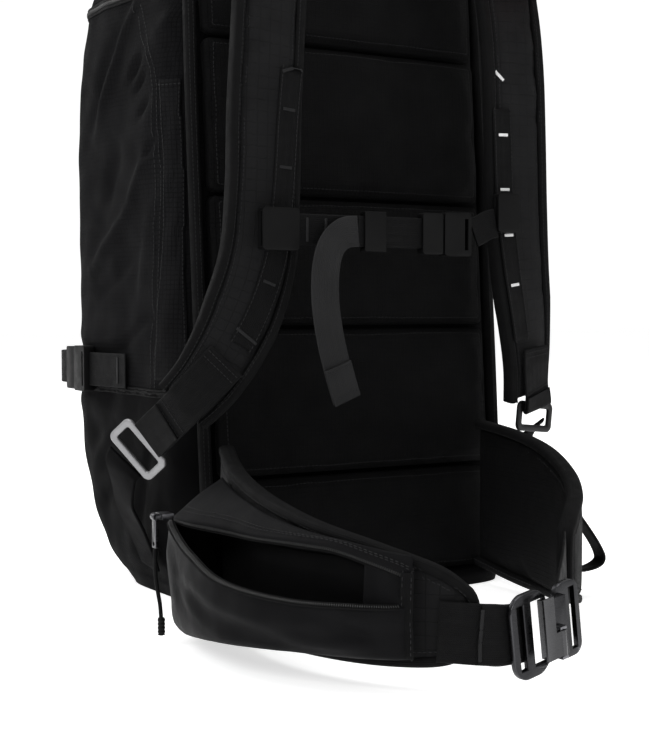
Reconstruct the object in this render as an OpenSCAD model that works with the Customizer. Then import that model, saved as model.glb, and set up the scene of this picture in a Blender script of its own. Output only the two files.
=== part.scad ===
/* [Pack] */
// Width of the bag at its widest
body_w = 366; // [362:1:370]
// Depth of the bag behind the back panel
body_d = 250; // [246:1:254]
// Height of the bag without its grab handle
pack_h = 612; // [608:1:618]
// Angle the pack leans back from upright
lean = 4.5; // [4:0.1:5]
// Wall thickness of the bag fabric with its foam
wall = 3; // [2.5:0.1:3.5]

/* [Back panel] */
// Width of the padded back panel
panel_w = 280; // [276:1:284]
// Thickness of the back pads
pad_t = 16; // [14:1:16]

/* [Straps] */
// Width of the shoulder straps
strap_w = 62; // [58:1:64]
// Thickness of the shoulder straps
strap_t = 13; // [11:1:14]
// Width of the sternum webbing
sternum_w = 25; // [24:1:26]
// Width of the side compression webbing
side_w = 30; // [28:1:31]
// Width of the hip webbing
hip_w = 40; // [38:1:41]
// Thickness of all webbing
web_t = 1.8; // [1.6:0.1:2]

/* [Airbag system] */
// Outer diameter of the fan duct
fan_d = 76; // [72:1:78]
// Height of the fan duct
fan_h = 78; // [72:1:80]

/* [Hidden] */
$fn = 48;

gap = 0.4;
charcoal = [0.13, 0.13, 0.14];
graphite = [0.2, 0.2, 0.21];
webbing_grey = [0.17, 0.17, 0.18];
steel = [0.72, 0.72, 0.74];
gunmetal = [0.3, 0.3, 0.32];
black_plastic = [0.08, 0.08, 0.09];

// ---- Shared geometry ----------------------------------------------------------------------------

function unit(v) = v / norm(v);
function flatten(lists) = [for (l = lists) each l];

// A point of a Catmull-Rom curve through the points, at parameter t counted in points
function curve_at(points, t) =
    let (last = len(points) - 1, i = min(floor(t), last - 1), f = t - i,
        a = points[max(i - 1, 0)], b = points[i], c = points[i + 1], d = points[min(i + 2, last)])
    0.5 * (2 * b + f * (c - a) + f * f * (2 * a - 5 * b + 4 * c - d) + f * f * f * (3 * b - 3 * c + d - a));

function curve(points, steps) =
    [for (i = [0 : (len(points) - 1) * steps]) curve_at(points, i / steps)];

function heading(path, i) = unit(path[min(i + 1, len(path) - 1)] - path[max(i - 1, 0)]);

// One cross-section: the outline's first number runs along the width, its second along the face normal
function section(path, i, outline, face) =
    let (t = heading(path, i), side = unit(cross(face, t)), up = cross(t, side))
    [for (q = outline) path[i] + q[0] * side + q[1] * up];

// A closed solid through rings that each have the same number of points
module loft(rings, ring_closed = false) {
    n = len(rings[0]);
    m = len(rings);
    walls = [for (i = [0 : ring_closed ? m - 1 : m - 2], j = [0 : n - 1])
        each let (a = i * n, b = ((i + 1) % m) * n, k = (j + 1) % n)
            [[a + j, b + k, a + k], [a + j, b + j, b + k]]];
    caps = ring_closed ? [] : [[for (j = [0 : n - 1]) j], [for (j = [n - 1 : -1 : 0]) (m - 1) * n + j]];
    polyhedron(points = flatten(rings), faces = concat(walls, caps), convexity = 10);
}

function rect(w, t) = [[-w / 2, -t / 2], [w / 2, -t / 2], [w / 2, t / 2], [-w / 2, t / 2]];

function soft_rect(w, t, c) =
    [[-w / 2 + c, -t / 2], [w / 2 - c, -t / 2], [w / 2, -t / 2 + c], [w / 2, t / 2 - c],
     [w / 2 - c, t / 2], [-w / 2 + c, t / 2], [-w / 2, t / 2 - c], [-w / 2, -t / 2 + c]];

// Flat webbing along a route, its face turned towards the faces given at the route's points
module webbing(route, faces, w, t = web_t, steps = 4) {
    path = curve(route, steps);
    turned = curve(faces, steps);
    loft([for (i = [0 : len(path) - 1]) section(path, i, rect(w, t), turned[i])]);
}

module tube(route, d, sides = 8, steps = 4) {
    path = curve(route, steps);
    outline = [for (a = [0 : 360 / sides : 359]) d / 2 * [cos(a), sin(a)]];
    loft([for (i = [0 : len(path) - 1]) section(path, i, outline, [0.31, 0.9, 0.3])]);
}

function same(v, n) = [for (i = [1 : n]) v];
function mirrored(route) = [for (p = route) [-p[0], p[1], p[2]]];

module both_sides() {
    children();
    mirror([1, 0, 0]) children();
}

// A rounded plate in the XZ plane, centred on the origin
module plate(w, h, t, r) {
    rotate([90, 0, 0]) linear_extrude(t, center = true) rounded(w, h, r);
}

module rounded(w, h, r) {
    for (x = [-1, 1]) for (y = [-1, 1]) translate([x * (w / 2 - r), y * (h / 2 - r)]) circle(r);
    square([w - 2 * r, h], center = true);
    square([w, h - 2 * r], center = true);
}

// Parts square to the back panel lean with it
module leaned() {
    rotate([-lean, 0, 0]) children();
}

// ---- Bag ----------------------------------------------------------------------------------------

bag_back = 18;
bag_mid = 178;
split_z = 525;
hood_y = 106;
ring_n = 40;

function half_width(z) = body_w / 2 - lookup(z, [[0, 24], [25, 13], [65, 5], [110, 1], [160, 0],
    [400, 1], [480, 5], [525, 12], [565, 26], [590, 46], [604, 70], [pack_h, 100]]);
function bag_front(z) = body_d - lookup(z, [[0, 64], [25, 31], [65, 8], [110, -2], [160, -2], [216, 0],
    [300, 6], [420, 14], [480, 20], [525, 27], [565, 46], [590, 68], [604, 90], [pack_h, 116]]);
function back_wall(z) = lookup(z, [[0, -6], [11, -8], [13, bag_back], [565, bag_back], [590, 26],
    [604, 40], [pack_h, 62]]);

// Outline of the bag at a height: flat towards the back panel, rounder and wider at the front
function bag_ring(z, inset = 0) =
    let (back = back_wall(z) + inset, front = bag_front(z) - inset, hw = half_width(z) - inset,
        mid = (back + front) / 2, reach = (front - back) / 2)
    [for (i = [0 : ring_n - 1])
        let (a = i * 360 / ring_n, e = sin(a) < 0 ? 0.24 : 0.38,
            v = sign(sin(a)) * pow(abs(sin(a)), e), u = sign(cos(a)) * pow(abs(cos(a)), e),
            narrow = 1 - 0.05 * (1 - v))
        [u * hw * narrow, mid + v * reach + z * tan(lean), z]];

function bag_rings(heights, inset) = [for (z = heights) bag_ring(z, inset)];
function backwards(list) = [for (i = [len(list) - 1 : -1 : 0]) list[i]];

module base_boot() {
    outer = [0, 11, 13, 25, 45, 65, 90, 120, 150, bag_mid];
    inner = [4, 14, 25, 45, 65, 90, 120, 150, bag_mid];
    color(charcoal) loft(concat(bag_rings(outer, 0), backwards(bag_rings(inner, wall))));
}

module main_bag() {
    heights = [bag_mid + gap, 230, 300, 360, 420, 480, split_z];
    color(graphite)
        loft(concat(bag_rings(heights, 0), backwards(bag_rings(heights, wall))), ring_closed = true);
}

// The domed top of the bag as a solid, reaching lower by the given drop
module hood(inset, drop = 0) {
    heights = [split_z + gap - drop, 545, 565, 578, 590, 598, 604, pack_h - inset];
    loft(bag_rings(heights, inset));
}

module hood_part(inset, from_y, to_y, drop = 0) {
    intersection() {
        hood(inset, drop);
        translate([-200, from_y + split_z * tan(lean), split_z - drop - 1])
            cube([400, to_y - from_y, 120]);
    }
}

module airbag_cover() {
    color(graphite) difference() {
        hood_part(0, -20, hood_y);
        hood_part(wall, -20, hood_y - wall, 1);
    }
}

module lid() {
    color(graphite) difference() {
        hood_part(0, hood_y + 1, 240);
        hood_part(wall, hood_y, 240, 1);
    }
}

// The zip under the lid's edge, around the sides and front of the bag
module lid_zip() {
    rim = bag_ring(split_z - 7, -1.4);
    path = [for (i = [1 : ring_n / 2 - 1]) rim[i]];
    color(black_plastic) loft([for (i = [0 : len(path) - 1])
        section(path, i, rect(8, 1.2), [path[i][0], path[i][1] - 150, 0])]);
}

zip_y = bag_front(split_z - 7) + (split_z - 7) * tan(lean);

module lid_zip_slider(side) {
    color(gunmetal) translate([side * 14, zip_y + 4.4, split_z - 7]) {
        cube([12, 4, 8], center = true);
        translate([side * 4, 3.2, -10]) plate(7, 30, 1.6, 3);
        translate([side * 4, 2, 0]) cube([7, 2.8, 3], center = true);
    }
}

// ---- Frame and back panel -----------------------------------------------------------------------

module frame_sheet() {
    color("dimgray") leaned() translate([0, bag_back + wall + 2.6, 270]) plate(200, 460, 2, 24);
}

module frame_stays() {
    color("silver") leaned() for (x = [-70, 70])
        translate([x, bag_back + wall + 5.6, 270]) plate(12, 440, 3, 5);
}

// Seams between the back pads, measured up the panel
pad_seams = [14, 107, 232, 342, 473, 548];

module back_pad(i) {
    low = pad_seams[i] + 1;
    high = pad_seams[i + 1] - 1;
    color(charcoal) leaned() translate([0, bag_back - 0.6 - pad_t / 2, (low + high) / 2])
        hull() {
            plate(panel_w - 12, high - low, pad_t, 8);
            plate(panel_w - 4, high - low, pad_t - 8, 8);
        }
}

// Piping that frames the back panel
module panel_binding() {
    x = panel_w / 2 + 2.4;
    y = bag_back - 5;
    color(black_plastic) leaned() for (side = [-1, 1])
        translate([side * x, y, 150]) cylinder(d = 4, h = 408);
}

module grab_handle() {
    y = 96;
    route = [[-54, y, 611.2], [-48, y, 626], [-28, y, 640], [0, y, 645],
        [28, y, 640], [48, y, 626], [54, y, 611.2]];
    faces = [[-1, 0, 0.4], [-1, 0, 1], [-0.3, 0, 1], [0, 0, 1], [0.3, 0, 1], [1, 0, 1], [1, 0, 0.4]];
    color(webbing_grey) webbing(route, faces, 20, 5);
}

// ---- Airbag system ------------------------------------------------------------------------------

fan_y = 66;
fan_low = split_z - 1 - fan_h;
shaft_r = 2;

module airbag_tray() {
    color("dimgray") difference() {
        intersection() {
            hood_part(wall + gap, -20, hood_y - wall - gap);
            translate([-200, 0, split_z + 1]) cube([400, 400, 3]);
        }
        fan_place() cylinder(d = fan_d - 12, h = 120);
    }
}

module fan_place() {
    translate([0, fan_y + split_z * tan(lean), fan_low]) children();
}

module airbag_folded() {
    low = split_z + 5;
    back_y = 30;
    color([0.85, 0.35, 0.1]) intersection() {
        hood(wall + 2);
        translate([-130, back_y + split_z * tan(lean), low]) cube([260, hood_y - wall - back_y - 3, 62]);
    }
}

module burst_zip() {
    color(black_plastic) translate([0, 113, pack_h + 1.2]) cube([156, 7, 1.6], center = true);
}

module fan_housing() {
    bore = fan_d - 8;
    color(black_plastic) fan_place() difference() {
        union() {
            cylinder(d = fan_d, h = fan_h);
            for (a = [45 : 90 : 315]) rotate(a) translate([fan_d / 2 - 1, 0, 0]) cylinder(d = 7, h = 12);
        }
        translate([0, 0, 6]) cylinder(d = bore, h = fan_h);
        for (a = [30 : 60 : 330]) rotate(a) translate([22, 0, -1]) cylinder(d = 12, h = 10);
    }
}

module fan_motor() {
    color(steel) fan_place() translate([0, 0, 6]) difference() {
        cylinder(d = 28, h = 34);
        translate([0, 0, 10]) cylinder(r = shaft_r + 0.05, h = 30);
    }
}

module fan_impeller() {
    z = 46;
    color("gainsboro") fan_place() {
        translate([0, 0, 18]) cylinder(r = shaft_r, h = 44);
        translate([0, 0, z]) difference() {
            cylinder(d = 34, h = 18);
            translate([0, 0, -1]) cylinder(d = 28, h = 15);
        }
        for (a = [0 : 40 : 320]) rotate(a) translate([16, 0, z + 9]) rotate([38, 0, 0])
            translate([0, -1, -8]) cube([15, 2, 16]);
    }
}

module battery_pack() {
    color([0.12, 0.25, 0.16]) leaned() translate([-95, 52, 440]) plate(62, 110, 34, 6);
}

control_x = 96;

module control_box() {
    color(black_plastic) leaned() translate([control_x, 46, 450]) difference() {
        plate(58, 84, 22, 5);
        translate([0, 4, 22]) rotate([-90, 0, 0]) cylinder(r = 8.5, h = 20);
    }
}

// Domed button in the face of the control box
module power_button() {
    color("firebrick") leaned() translate([control_x, 52.4, 472]) rotate([-90, 0, 0]) {
        cylinder(r = 8, h = 6);
        cylinder(r = 5, h = 7);
    }
}

// The lead from the battery under the fan to the control box
module power_lead() {
    color(black_plastic) tube([[-95, 86, 378.4], [-90, 88, 366], [-60, 92, 360], [0, 96, 362], [60, 94, 366],
        [90, 86, 380], [96, 83, 401.4]], 5);
}

// ---- Shoulder straps ----------------------------------------------------------------------------

strap_route_left = [[-78, 54, 562], [-84, 28, 582], [-92, 2, 574], [-99, -12, 546], [-105, -17, 505],
    [-110, -21, 455], [-114, -23, 400], [-116, -24, 340], [-122, -27, 285], [-139, -27, 235],
    [-160, -21, 195], [-177, -6, 170]];
strap_faces_left = [[0, 0.6, 0.8], [0, 0, 1], [0, -0.8, 0.6], [0, -1, 0.2], [0, -1, 0.1],
    [0, -1, 0], [0, -1, 0], [0, -1, 0], [-0.1, -1, 0], [-0.25, -1, 0], [-0.45, -0.9, 0], [-0.6, -0.8, 0]];
strap_route_right = [[84, 54, 562], [94, 28, 582], [110, 2, 574], [123, -12, 546], [130, -17, 505],
    [133, -21, 455], [134, -23, 400], [135, -24, 340], [137, -27, 285], [143, -27, 235],
    [148, -24, 198], [152, -17, 168]];
strap_faces_right = [[0, 0.6, 0.8], [0, 0, 1], [0, -0.8, 0.6], [0, -1, 0.2], [0, -1, 0.1],
    [0, -1, 0], [0, -1, 0], [0, -1, 0], [0.1, -1, 0], [0.2, -1, 0], [0.25, -1, 0], [0.25, -1, 0]];
strap_steps = 3;

module shoulder_strap(route, faces) {
    path = curve(route, strap_steps);
    turned = curve(faces, strap_steps);
    last = len(path) - 1;
    color(charcoal) loft([for (i = [0 : last])
        let (w = strap_w * lookup(i, [[0, 0.9], [last - 6, 1], [last, 0.74]]))
        section(path, i, soft_rect(w, strap_t, 4), turned[i])]);
}

// A point beside the strap's middle line and proud of its face
function on_strap(route, faces, t, across, proud) =
    let (p = curve_at(route, t), ahead = curve_at(route, t + 0.05), h = unit(ahead - p),
        side = unit(cross(curve_at(faces, t), h)), up = cross(h, side))
    p + across * side + (strap_t / 2 + proud) * up;

// Rails for the sternum sliders, from one section of the strap to another
rail_from = 17;
rail_to = 28;
rail_w = 20;
rail_lift = 1.1;

module strap_rails() {
    strap_rail(strap_route_left, strap_faces_left, 19, 8);
    strap_rail(strap_route_right, strap_faces_right, -20, -15);
}

module strap_rail(route, faces, top_offset, low_offset) {
    n = rail_to - rail_from;
    points = [for (i = [0 : n])
        on_strap(route, faces, (rail_from + i) / strap_steps,
            top_offset + i / n * (low_offset - top_offset), rail_lift + web_t / 2)];
    color(webbing_grey) loft([for (i = [0 : n])
        section(points, i, rect(rail_w, web_t), curve_at(faces, (rail_from + i) / strap_steps))]);
}

// Webbing from the end of each shoulder strap to its ring. The left one lies to the side, and the right one
// hangs straight down
module strap_webbing() {
    color(webbing_grey) {
        webbing([[-154, -36.5, 206], [-168, -29.5, 190], [-183, -15, 169],
            [-189, 7, 153.5], [-191.6, 27.8, 141.8]], [[-0.4, -0.9, 0.1], [-0.5, -0.85, 0.1],
            [-0.65, -0.75, 0.1], [-0.74, -0.66, 0], [-0.76, -0.6, -0.2]], 34);
        webbing([[149, -37, 212], [151, -34.5, 196], [154, -31, 180], [157.5, -27.5, 167], [159.5, -25.4, 158]],
            [[0.2, -1, 0.1], [0.2, -1, 0.1], [0.2, -1, 0.2], [0.15, -1, 0.2], [0.1, -1, 0.2]], 34);
    }
}

ring_at = [-197, 38, 133];
ring_at_right = [160.5, -20, 149];

// The ring's short side lies along its webbing and its face looks outwards
module ring_left() {
    translate(ring_at) rotate([163, 38, 118]) children();
}

module ring_right() {
    translate(ring_at_right) rotate([10, -84, 4]) children();
}

module ring() {
    rotate([90, 0, 0]) difference() {
        linear_extrude(3.6, center = true) rounded(27, 50, 6);
        linear_extrude(5, center = true) rounded(15, 38, 2);
    }
}

module strap_rings() {
    color(steel) ring_left() ring();
    color(steel) ring_right() ring();
}

// Webbing from each ring down to the bag's lower corner
module strap_anchors() {
    color(charcoal) {
        webbing([[-203.4, 50.2, 122.4], [-204, 60, 113], [-193, 80, 86], [-177, 88, 56], [-164.6, 92, 26]],
            [[-0.76, -0.6, -0.2], [-0.9, -0.45, -0.1], [-1, -0.2, 0.1], [-1, -0.1, 0], [-1, 0, -0.3]], 34);
        webbing([[161.5, -14, 138], [168, -4, 128], [186, 24, 112], [196, 52, 98], [190, 78, 78],
            [176.5, 88, 52], [164.6, 92, 26]], [[0.2, -1, -0.4], [0.5, -0.8, -0.4], [0.85, -0.5, -0.1],
            [1, -0.2, 0], [1, -0.1, 0], [1, -0.1, 0], [1, 0, -0.3]], 34);
    }
}

// Webbing from the top of each shoulder strap to the bag
module load_lifters() {
    route = [[-92, -2, 585], [-94, 22, 597], [-92, 50, 602], [-88, 77, 598]];
    color(webbing_grey) both_sides() webbing(route, same([0, 0.1, 1], 4), 20);
}

// ---- Trigger ------------------------------------------------------------------------------------

trigger_x = 129;
trigger_y = -75;
stem_r = 5;

module trigger_dock() {
    color(black_plastic) leaned() translate([trigger_x, trigger_y + 2.5, 566]) difference() {
        plate(30, 26, 21, 5);
        translate([0, -2.5, -20]) cylinder(r = stem_r + 0.06, h = 30);
    }
}

module trigger_handle() {
    color([0.75, 0.12, 0.1]) leaned() translate([trigger_x, trigger_y, 0]) {
        translate([0, 0, 538]) cylinder(r = stem_r, h = 36);
        translate([0, 0, 528]) plate(54, 24, 15, 7);
    }
}

// Sheathed cable from the dock over the shoulder strap into the airbag cover
module trigger_cable() {
    color(black_plastic) tube([[129, -24, 584], [129, -22, 593], [127, -10, 604], [122, 12, 611],
        [115, 40, 610], [108, 72, 599]], 6);
}

// ---- Side-release buckles -----------------------------------------------------------------------
// Local frame: webbing along X, plug on the low side, width along Z, front face towards -Y

module buckle_plug(w) {
    color(black_plastic) difference() {
        union() {
            translate([-11, 0, 0]) plate(20, w + 9, 9, 2.5);
            for (z = [-1, 1]) translate([6, 0, z * (w / 2 + 2.2)]) plate(18, 3.4, 4, 1.6);
        }
        translate([-11, 0, 0]) cube([30, 2 * web_t + 1.6, w + 0.8], center = true);
    }
}

module buckle_socket(w) {
    color(black_plastic) difference() {
        translate([14, 0, 0]) plate(27, w + 11, 10, 3);
        translate([7, 0, 0]) cube([23, 6.2, w + 8.4], center = true);
        translate([22.5, 0, 0]) cube([3.5, 20, w + 1], center = true);
    }
}

// ---- Sternum strap ------------------------------------------------------------------------------

sternum_y = -45.6;
sternum_z = 308;
buckle_x = 40;
right_z = 328;

module sternum_slider(x, z, w) {
    color(black_plastic) translate([x, sternum_y + 2.2, z]) difference() {
        plate(w, 33, 9, 3);
        translate([0, -1.2, 0]) cube([40, web_t + 1, sternum_w + 2], center = true);
    }
}

module sternum_webbing_left() {
    color(webbing_grey) {
        translate([-33, sternum_y + 1, sternum_z]) cube([142, web_t, sternum_w], center = true);
        translate([-2, sternum_y - 1, sternum_z]) cube([80, web_t, sternum_w], center = true);
        sternum_tail();
    }
}

// The loose tail turns out of the keeper and hangs down
module sternum_tail() {
    route = [[-42, sternum_y - 1, sternum_z], [-56, sternum_y - 3, sternum_z - 2],
        [-70, sternum_y - 8, sternum_z - 12], [-78, sternum_y - 12, sternum_z - 30],
        [-79, sternum_y - 13, sternum_z - 56], [-74, sternum_y - 12, sternum_z - 84],
        [-66, sternum_y - 10, sternum_z - 110], [-57, sternum_y - 8, sternum_z - 134]];
    webbing(route, same([0, -1, 0], 8), sternum_w, steps = 3);
}

module sternum_webbing_right() {
    color(webbing_grey) webbing([[buckle_x + 33, sternum_y, sternum_z + 1.8],
        [buckle_x + 38, sternum_y + 0.4, sternum_z + 4], [buckle_x + 49, sternum_y + 1, sternum_z + 9],
        [buckle_x + 57, sternum_y + 1, right_z - 9]], same([0, -1, 0], 4), sternum_w);
}

module sternum_keeper() {
    color(black_plastic) translate([-27, sternum_y, sternum_z]) difference() {
        cube([20, 2 * web_t + 5.4, sternum_w + 7], center = true);
        cube([24, 2 * web_t + 1, sternum_w + 1.6], center = true);
    }
}

module sternum_plug() {
    translate([buckle_x, sternum_y, sternum_z]) buckle_plug(sternum_w);
}

module sternum_socket() {
    translate([buckle_x, sternum_y, sternum_z]) buckle_socket(sternum_w);
}

// ---- Side compression straps --------------------------------------------------------------------

side_z = 192;
side_buckle = [-body_w / 2 - 1.5, 212, side_z];

module on_side() {
    translate(side_buckle) rotate([0, 180, 90]) children();
}

module side_webbing() {
    color(webbing_grey) both_sides() {
        webbing([[-174, 122, side_z], [-177, 140, side_z], [-181, 160, side_z], [-184, 183.6, side_z]],
            same([-1, 0, 0], 4), side_w);
        webbing([[side_buckle[0], 214, side_z], [side_buckle[0], 236, side_z], [side_buckle[0], 256, side_z],
            [-178, 269, side_z], [-158, 274, side_z], [-120, 270, side_z]],
            [[-1, 0, 0], [-1, 0, 0], [-1, 0.1, 0], [-0.7, 0.7, 0], [0, 1, 0], [0.1, 1, 0]], side_w);
    }
}

module side_sockets() {
    both_sides() on_side() buckle_socket(side_w);
}

module side_plug_left() {
    on_side() buckle_plug(side_w);
}

module side_plug_right() {
    mirror([1, 0, 0]) side_plug_left();
}

// ---- Hip belt -----------------------------------------------------------------------------------

wing_t = 12;
// Plan position, bottom and top of each wing from its root to its tip
wing_left = [[-136, 1, 24, 136], [-152, -40, 20, 131], [-167, -90, 16, 124], [-172, -140, 14, 115],
    [-163, -190, 14, 104], [-140, -233, 14, 93], [-112, -262, 16, 80], [-96, -274, 24, 66]];
wing_right = [[116, 1, 16, 146], [117, -50, 9, 140], [113, -95, 7, 131], [99, -138, 10, 118],
    [78, -172, 18, 106], [52, -198, 28, 96], [36, -211, 40, 86]];

function plan(p) = [p[0], p[1], 0];

module wing(stations) {
    path = curve(stations, 3);
    flat = [for (p = path) plan(p)];
    color(charcoal) loft([for (i = [0 : len(path) - 1])
        let (h = path[i][3] - path[i][2], middle = flat[i] + [0, 0, path[i][2] + h / 2], t = heading(flat, i),
            side = [-t[1], t[0], 0])
        [for (q = soft_rect(wing_t, h, 4)) middle + q[0] * side + [0, 0, q[1]]]]);
}

module hip_wing_left() {
    wing(wing_left);
}

module hip_wing_right() {
    wing(wing_right);
}

// The pocket on the left wing: plan position on the wing's face, bulge, height of its open lip, how far the
// panel over it reaches outwards, where that panel meets the wing and height of the pocket's bottom
pocket_line = [[-167, -58, 42.5, 90, 36, 119, 7], [-174, -88, 43.5, 82, 31, 114, 8],
    [-179, -125, 44, 73, 15, 109, 14], [-178, -160, 42, 62, 10, 103, 19], [-167, -200, 33, 57, 7, 97, 22],
    [-150, -233, 20, 56, 5, 92, 22], [-130, -259, 10, 56, 4, 90, 22]];
pocket_wall = 2.4;
pocket_top = 88;
panel_lip = 92.3;

function pocket_normal(flat, i) = let (t = heading(flat, i)) [t[1], -t[0], 0];

// Outline of the pocket from its top at the wing, under its bulge and up to its lip
function pocket_outline(b, lip, low) = [[b, lip], [b, low + 20], [0.85 * b, low + 4], [0.4 * b, low],
    [0, low + 2], [0, pocket_top]];

// The space inside, carried up through the mouth
function pocket_space(b, lip, low) = let (t = pocket_wall)
    [[b - t, lip + 40], [b - t, low + 21], [0.85 * b - t, low + 4 + t], [0.4 * b, low + t],
     [t, low + t + 2], [t, pocket_top + 10]];

function pocket_stations(from = 0, to = len(pocket_line) - 1, n = 18) =
    [for (i = [0 : n]) curve_at(pocket_line, from + (to - from) * i / n)];

function pocket_rings(stations, space) = let (flat = [for (p = stations) plan(p)])
    [for (i = [0 : len(flat) - 1])
        [for (q = space ? pocket_space(stations[i][2], stations[i][3], stations[i][6])
                        : pocket_outline(stations[i][2], stations[i][3], stations[i][6]))
            flat[i] + q[0] * pocket_normal(flat, i) + [0, 0, q[1]]]];

// Section of the panel that slopes from the wing out over the mouth
function panel_outline(reach, top) = [[reach, panel_lip], [reach, panel_lip - 2], [2.4, top - 3],
    [0.4, top - 3], [0.4, top]];

module hip_pocket() {
    stations = pocket_stations();
    flat = [for (p = stations) plan(p)];
    color(charcoal) {
        difference() {
            loft(pocket_rings(stations, false));
            loft(pocket_rings(pocket_stations(0.09, len(pocket_line) - 1.12), true));
        }
        loft([for (i = [0 : len(flat) - 4])
            [for (q = panel_outline(stations[i][4], stations[i][5]))
                flat[i] + q[0] * pocket_normal(flat, i) + [0, 0, q[1]]]]);
    }
}

// Zip tapes along both lips of the open pocket
module pocket_zip() {
    stations = pocket_stations();
    flat = [for (p = stations) plan(p)];
    inner = [for (i = [2 : len(stations) - 5])
        flat[i] + (stations[i][4] + 1) * pocket_normal(flat, i) + [0, 0, panel_lip - 3.2]];
    outer = [for (i = [2 : len(stations) - 5])
        flat[i] + (stations[i][2] - 1.2) * pocket_normal(flat, i) + [0, 0, stations[i][3] + 4]];
    color(black_plastic) for (path = [inner, outer])
        loft([for (i = [0 : len(path) - 1]) section(path, i, rect(2.4, 2), [0, 0, 1])]);
}

// The slider on the pocket's zip, and how far out from its middle the pull is hinged
slider_at = [-219, -66, 95];
pivot_x = -7.7;

module pocket_slider() {
    color(gunmetal) translate(slider_at) {
        cube([9, 13, 4.4], center = true);
        translate([pivot_x, 0, 0]) rotate([90, 0, 0]) cylinder(d = 2, h = 10.4, center = true);
        for (y = [-1, 1]) translate([-5.6, y * 4.4, 0]) cube([6.2, 1.6, 2.4], center = true);
    }
}

// The pull, hinged on the slider, with a hole for its cord
module pocket_puller() {
    color(gunmetal) translate(slider_at + [pivot_x, 0, 0]) difference() {
        union() {
            rotate([90, 0, 0]) cylinder(d = 5.4, h = 6, center = true);
            translate([0, 0, -12]) cube([2, 6, 22], center = true);
        }
        rotate([90, 0, 0]) cylinder(d = 2.1, h = 20, center = true);
        translate([0, 0, -20]) rotate([0, 90, 0]) cylinder(d = 3, h = 6, center = true);
    }
}

// The cord hanging from the pull
cord_route = [[-226.7, -66, 71], [-227, -67, 62], [-227.5, -69, 52], [-227, -71, 42], [-226, -73, 32],
    [-226, -75, 22]];

module pull_cord() {
    color(black_plastic) tube(cord_route, 3);
}

module cord_end() {
    color(black_plastic) translate([-226, -75.4, 9.5]) cylinder(d = 6, h = 11.8);
}

module hip_webbing() {
    color(webbing_grey) {
        webbing([[-117.5, -268.4, 40], [-101, -281, 39], [-89, -286, 38], [-78, -286.2, 36.5],
            [-57.3, -282.7, 35.5]], [[-0.7, -0.7, 0], [-0.6, -0.8, 0], [-0.1, -1, 0], [0.17, -1, 0],
            [0.17, -1, 0]], hip_w);
        webbing([[32, -215.7, 66], [12, -238, 58], [-8, -259, 49], [-19, -272, 43], [-28.8, -277.4, 40]],
            [[0.65, -0.75, 0], [0.65, -0.75, 0], [0.6, -0.8, 0], [0.35, -0.94, 0], [0.17, -1, 0]], hip_w);
    }
}

// Hip buckle, in its own frame: X along the belt, Z up, front face towards -Y
buckle_at = [-52, -284, 36];
buckle_turn = 10;
buckle_rise = 8;
latch_pin = [12, -13.4];
pin_r = 1.4;

module buckle_pose() {
    translate(buckle_at) rotate([0, -buckle_rise, buckle_turn]) children();
}

module hip_buckle_frame() {
    color(gunmetal) buckle_pose() difference() {
        translate([-8, -3, 0]) plate(35, 57, 4, 13);
        translate([-16.5, -3, 0]) cube([6, 12, 43], center = true);
        translate([0.5, -3, 0]) cube([13, 12, 43.5], center = true);
    }
}

module hip_buckle_hook() {
    color(gunmetal) buckle_pose() {
        difference() {
            translate([29.5, -3, 0]) plate(23, 52, 4, 8);
            translate([34, -3, 0]) cube([6, 12, 43], center = true);
        }
        translate([12.5, -8.3, 0]) cube([19, 3.4, 40], center = true);
        translate([20.2, -5.8, 0]) cube([3.6, 5, 40], center = true);
        translate([4.8, -5.2, 0]) cube([3.2, 6.4, 40], center = true);
        for (z = [-19, 1]) translate([latch_pin[0], -12.2, z]) cube([6, 6, 2], center = true);
        translate([latch_pin[0], latch_pin[1], -20]) cylinder(r = pin_r, h = 22);
    }
}

module hip_buckle_latch() {
    color(steel) buckle_pose() difference() {
        union() {
            translate([latch_pin[0], latch_pin[1], -17.6]) cylinder(r = 2.8, h = 17.2);
            translate([latch_pin[0] - 9, latch_pin[1] - 1, -9]) cube([16, 1.6, 17], center = true);
            translate([latch_pin[0] - 12, latch_pin[1] - 1, 4]) cube([10, 1.6, 40], center = true);
        }
        translate([latch_pin[0], latch_pin[1], -30]) cylinder(r = pin_r + 0.06, h = 60);
    }
}

// Loop for gear on the outer face of the right wing
module gear_loop() {
    route = [[123.4, -84, 108], [132, -86, 92], [152, -92, 66], [168, -96, 42], [170, -97, 30],
        [156, -94, 24], [138, -88, 24], [122, -84, 26]];
    faces = [[1, 0, 0.4], [1, 0, 0.5], [1, 0, 0.6], [1, 0, 0.4],
        [1, 0, -0.4], [0, 0, -1], [0, 0, -1], [0, 0, -1]];
    color(webbing_grey) webbing(route, faces, 14, 2.4, 3);
}

// ---- Nodes --------------------------------------------------------------------------------------

base_boot();
main_bag();
frame_sheet();
frame_stays();
back_pad(4);  // back_pad_top
back_pad(3);  // back_pad_upper
back_pad(2);  // back_pad_middle
back_pad(1);  // back_pad_lower
back_pad(0);  // back_pad_lumbar
panel_binding();
airbag_tray();
airbag_cover();
airbag_folded();
burst_zip();
lid();
lid_zip();
lid_zip_slider(-1);  // lid_zip_slider_left
lid_zip_slider(1);  // lid_zip_slider_right
fan_housing();
fan_motor();
fan_impeller();
battery_pack();
control_box();
power_button();
power_lead();
grab_handle();
shoulder_strap(strap_route_left, strap_faces_left);  // shoulder_strap_left
shoulder_strap(strap_route_right, strap_faces_right);  // shoulder_strap_right
strap_rails();
strap_webbing();
strap_rings();
strap_anchors();
load_lifters();
trigger_dock();
trigger_handle();
trigger_cable();
sternum_slider(-112, sternum_z, 32);  // sternum_slider_left
sternum_slider(109, right_z, 22);  // sternum_slider_right
sternum_webbing_left();
sternum_webbing_right();
sternum_keeper();
sternum_plug();
sternum_socket();
side_webbing();
side_sockets();
side_plug_left();
side_plug_right();
hip_wing_left();
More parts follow.
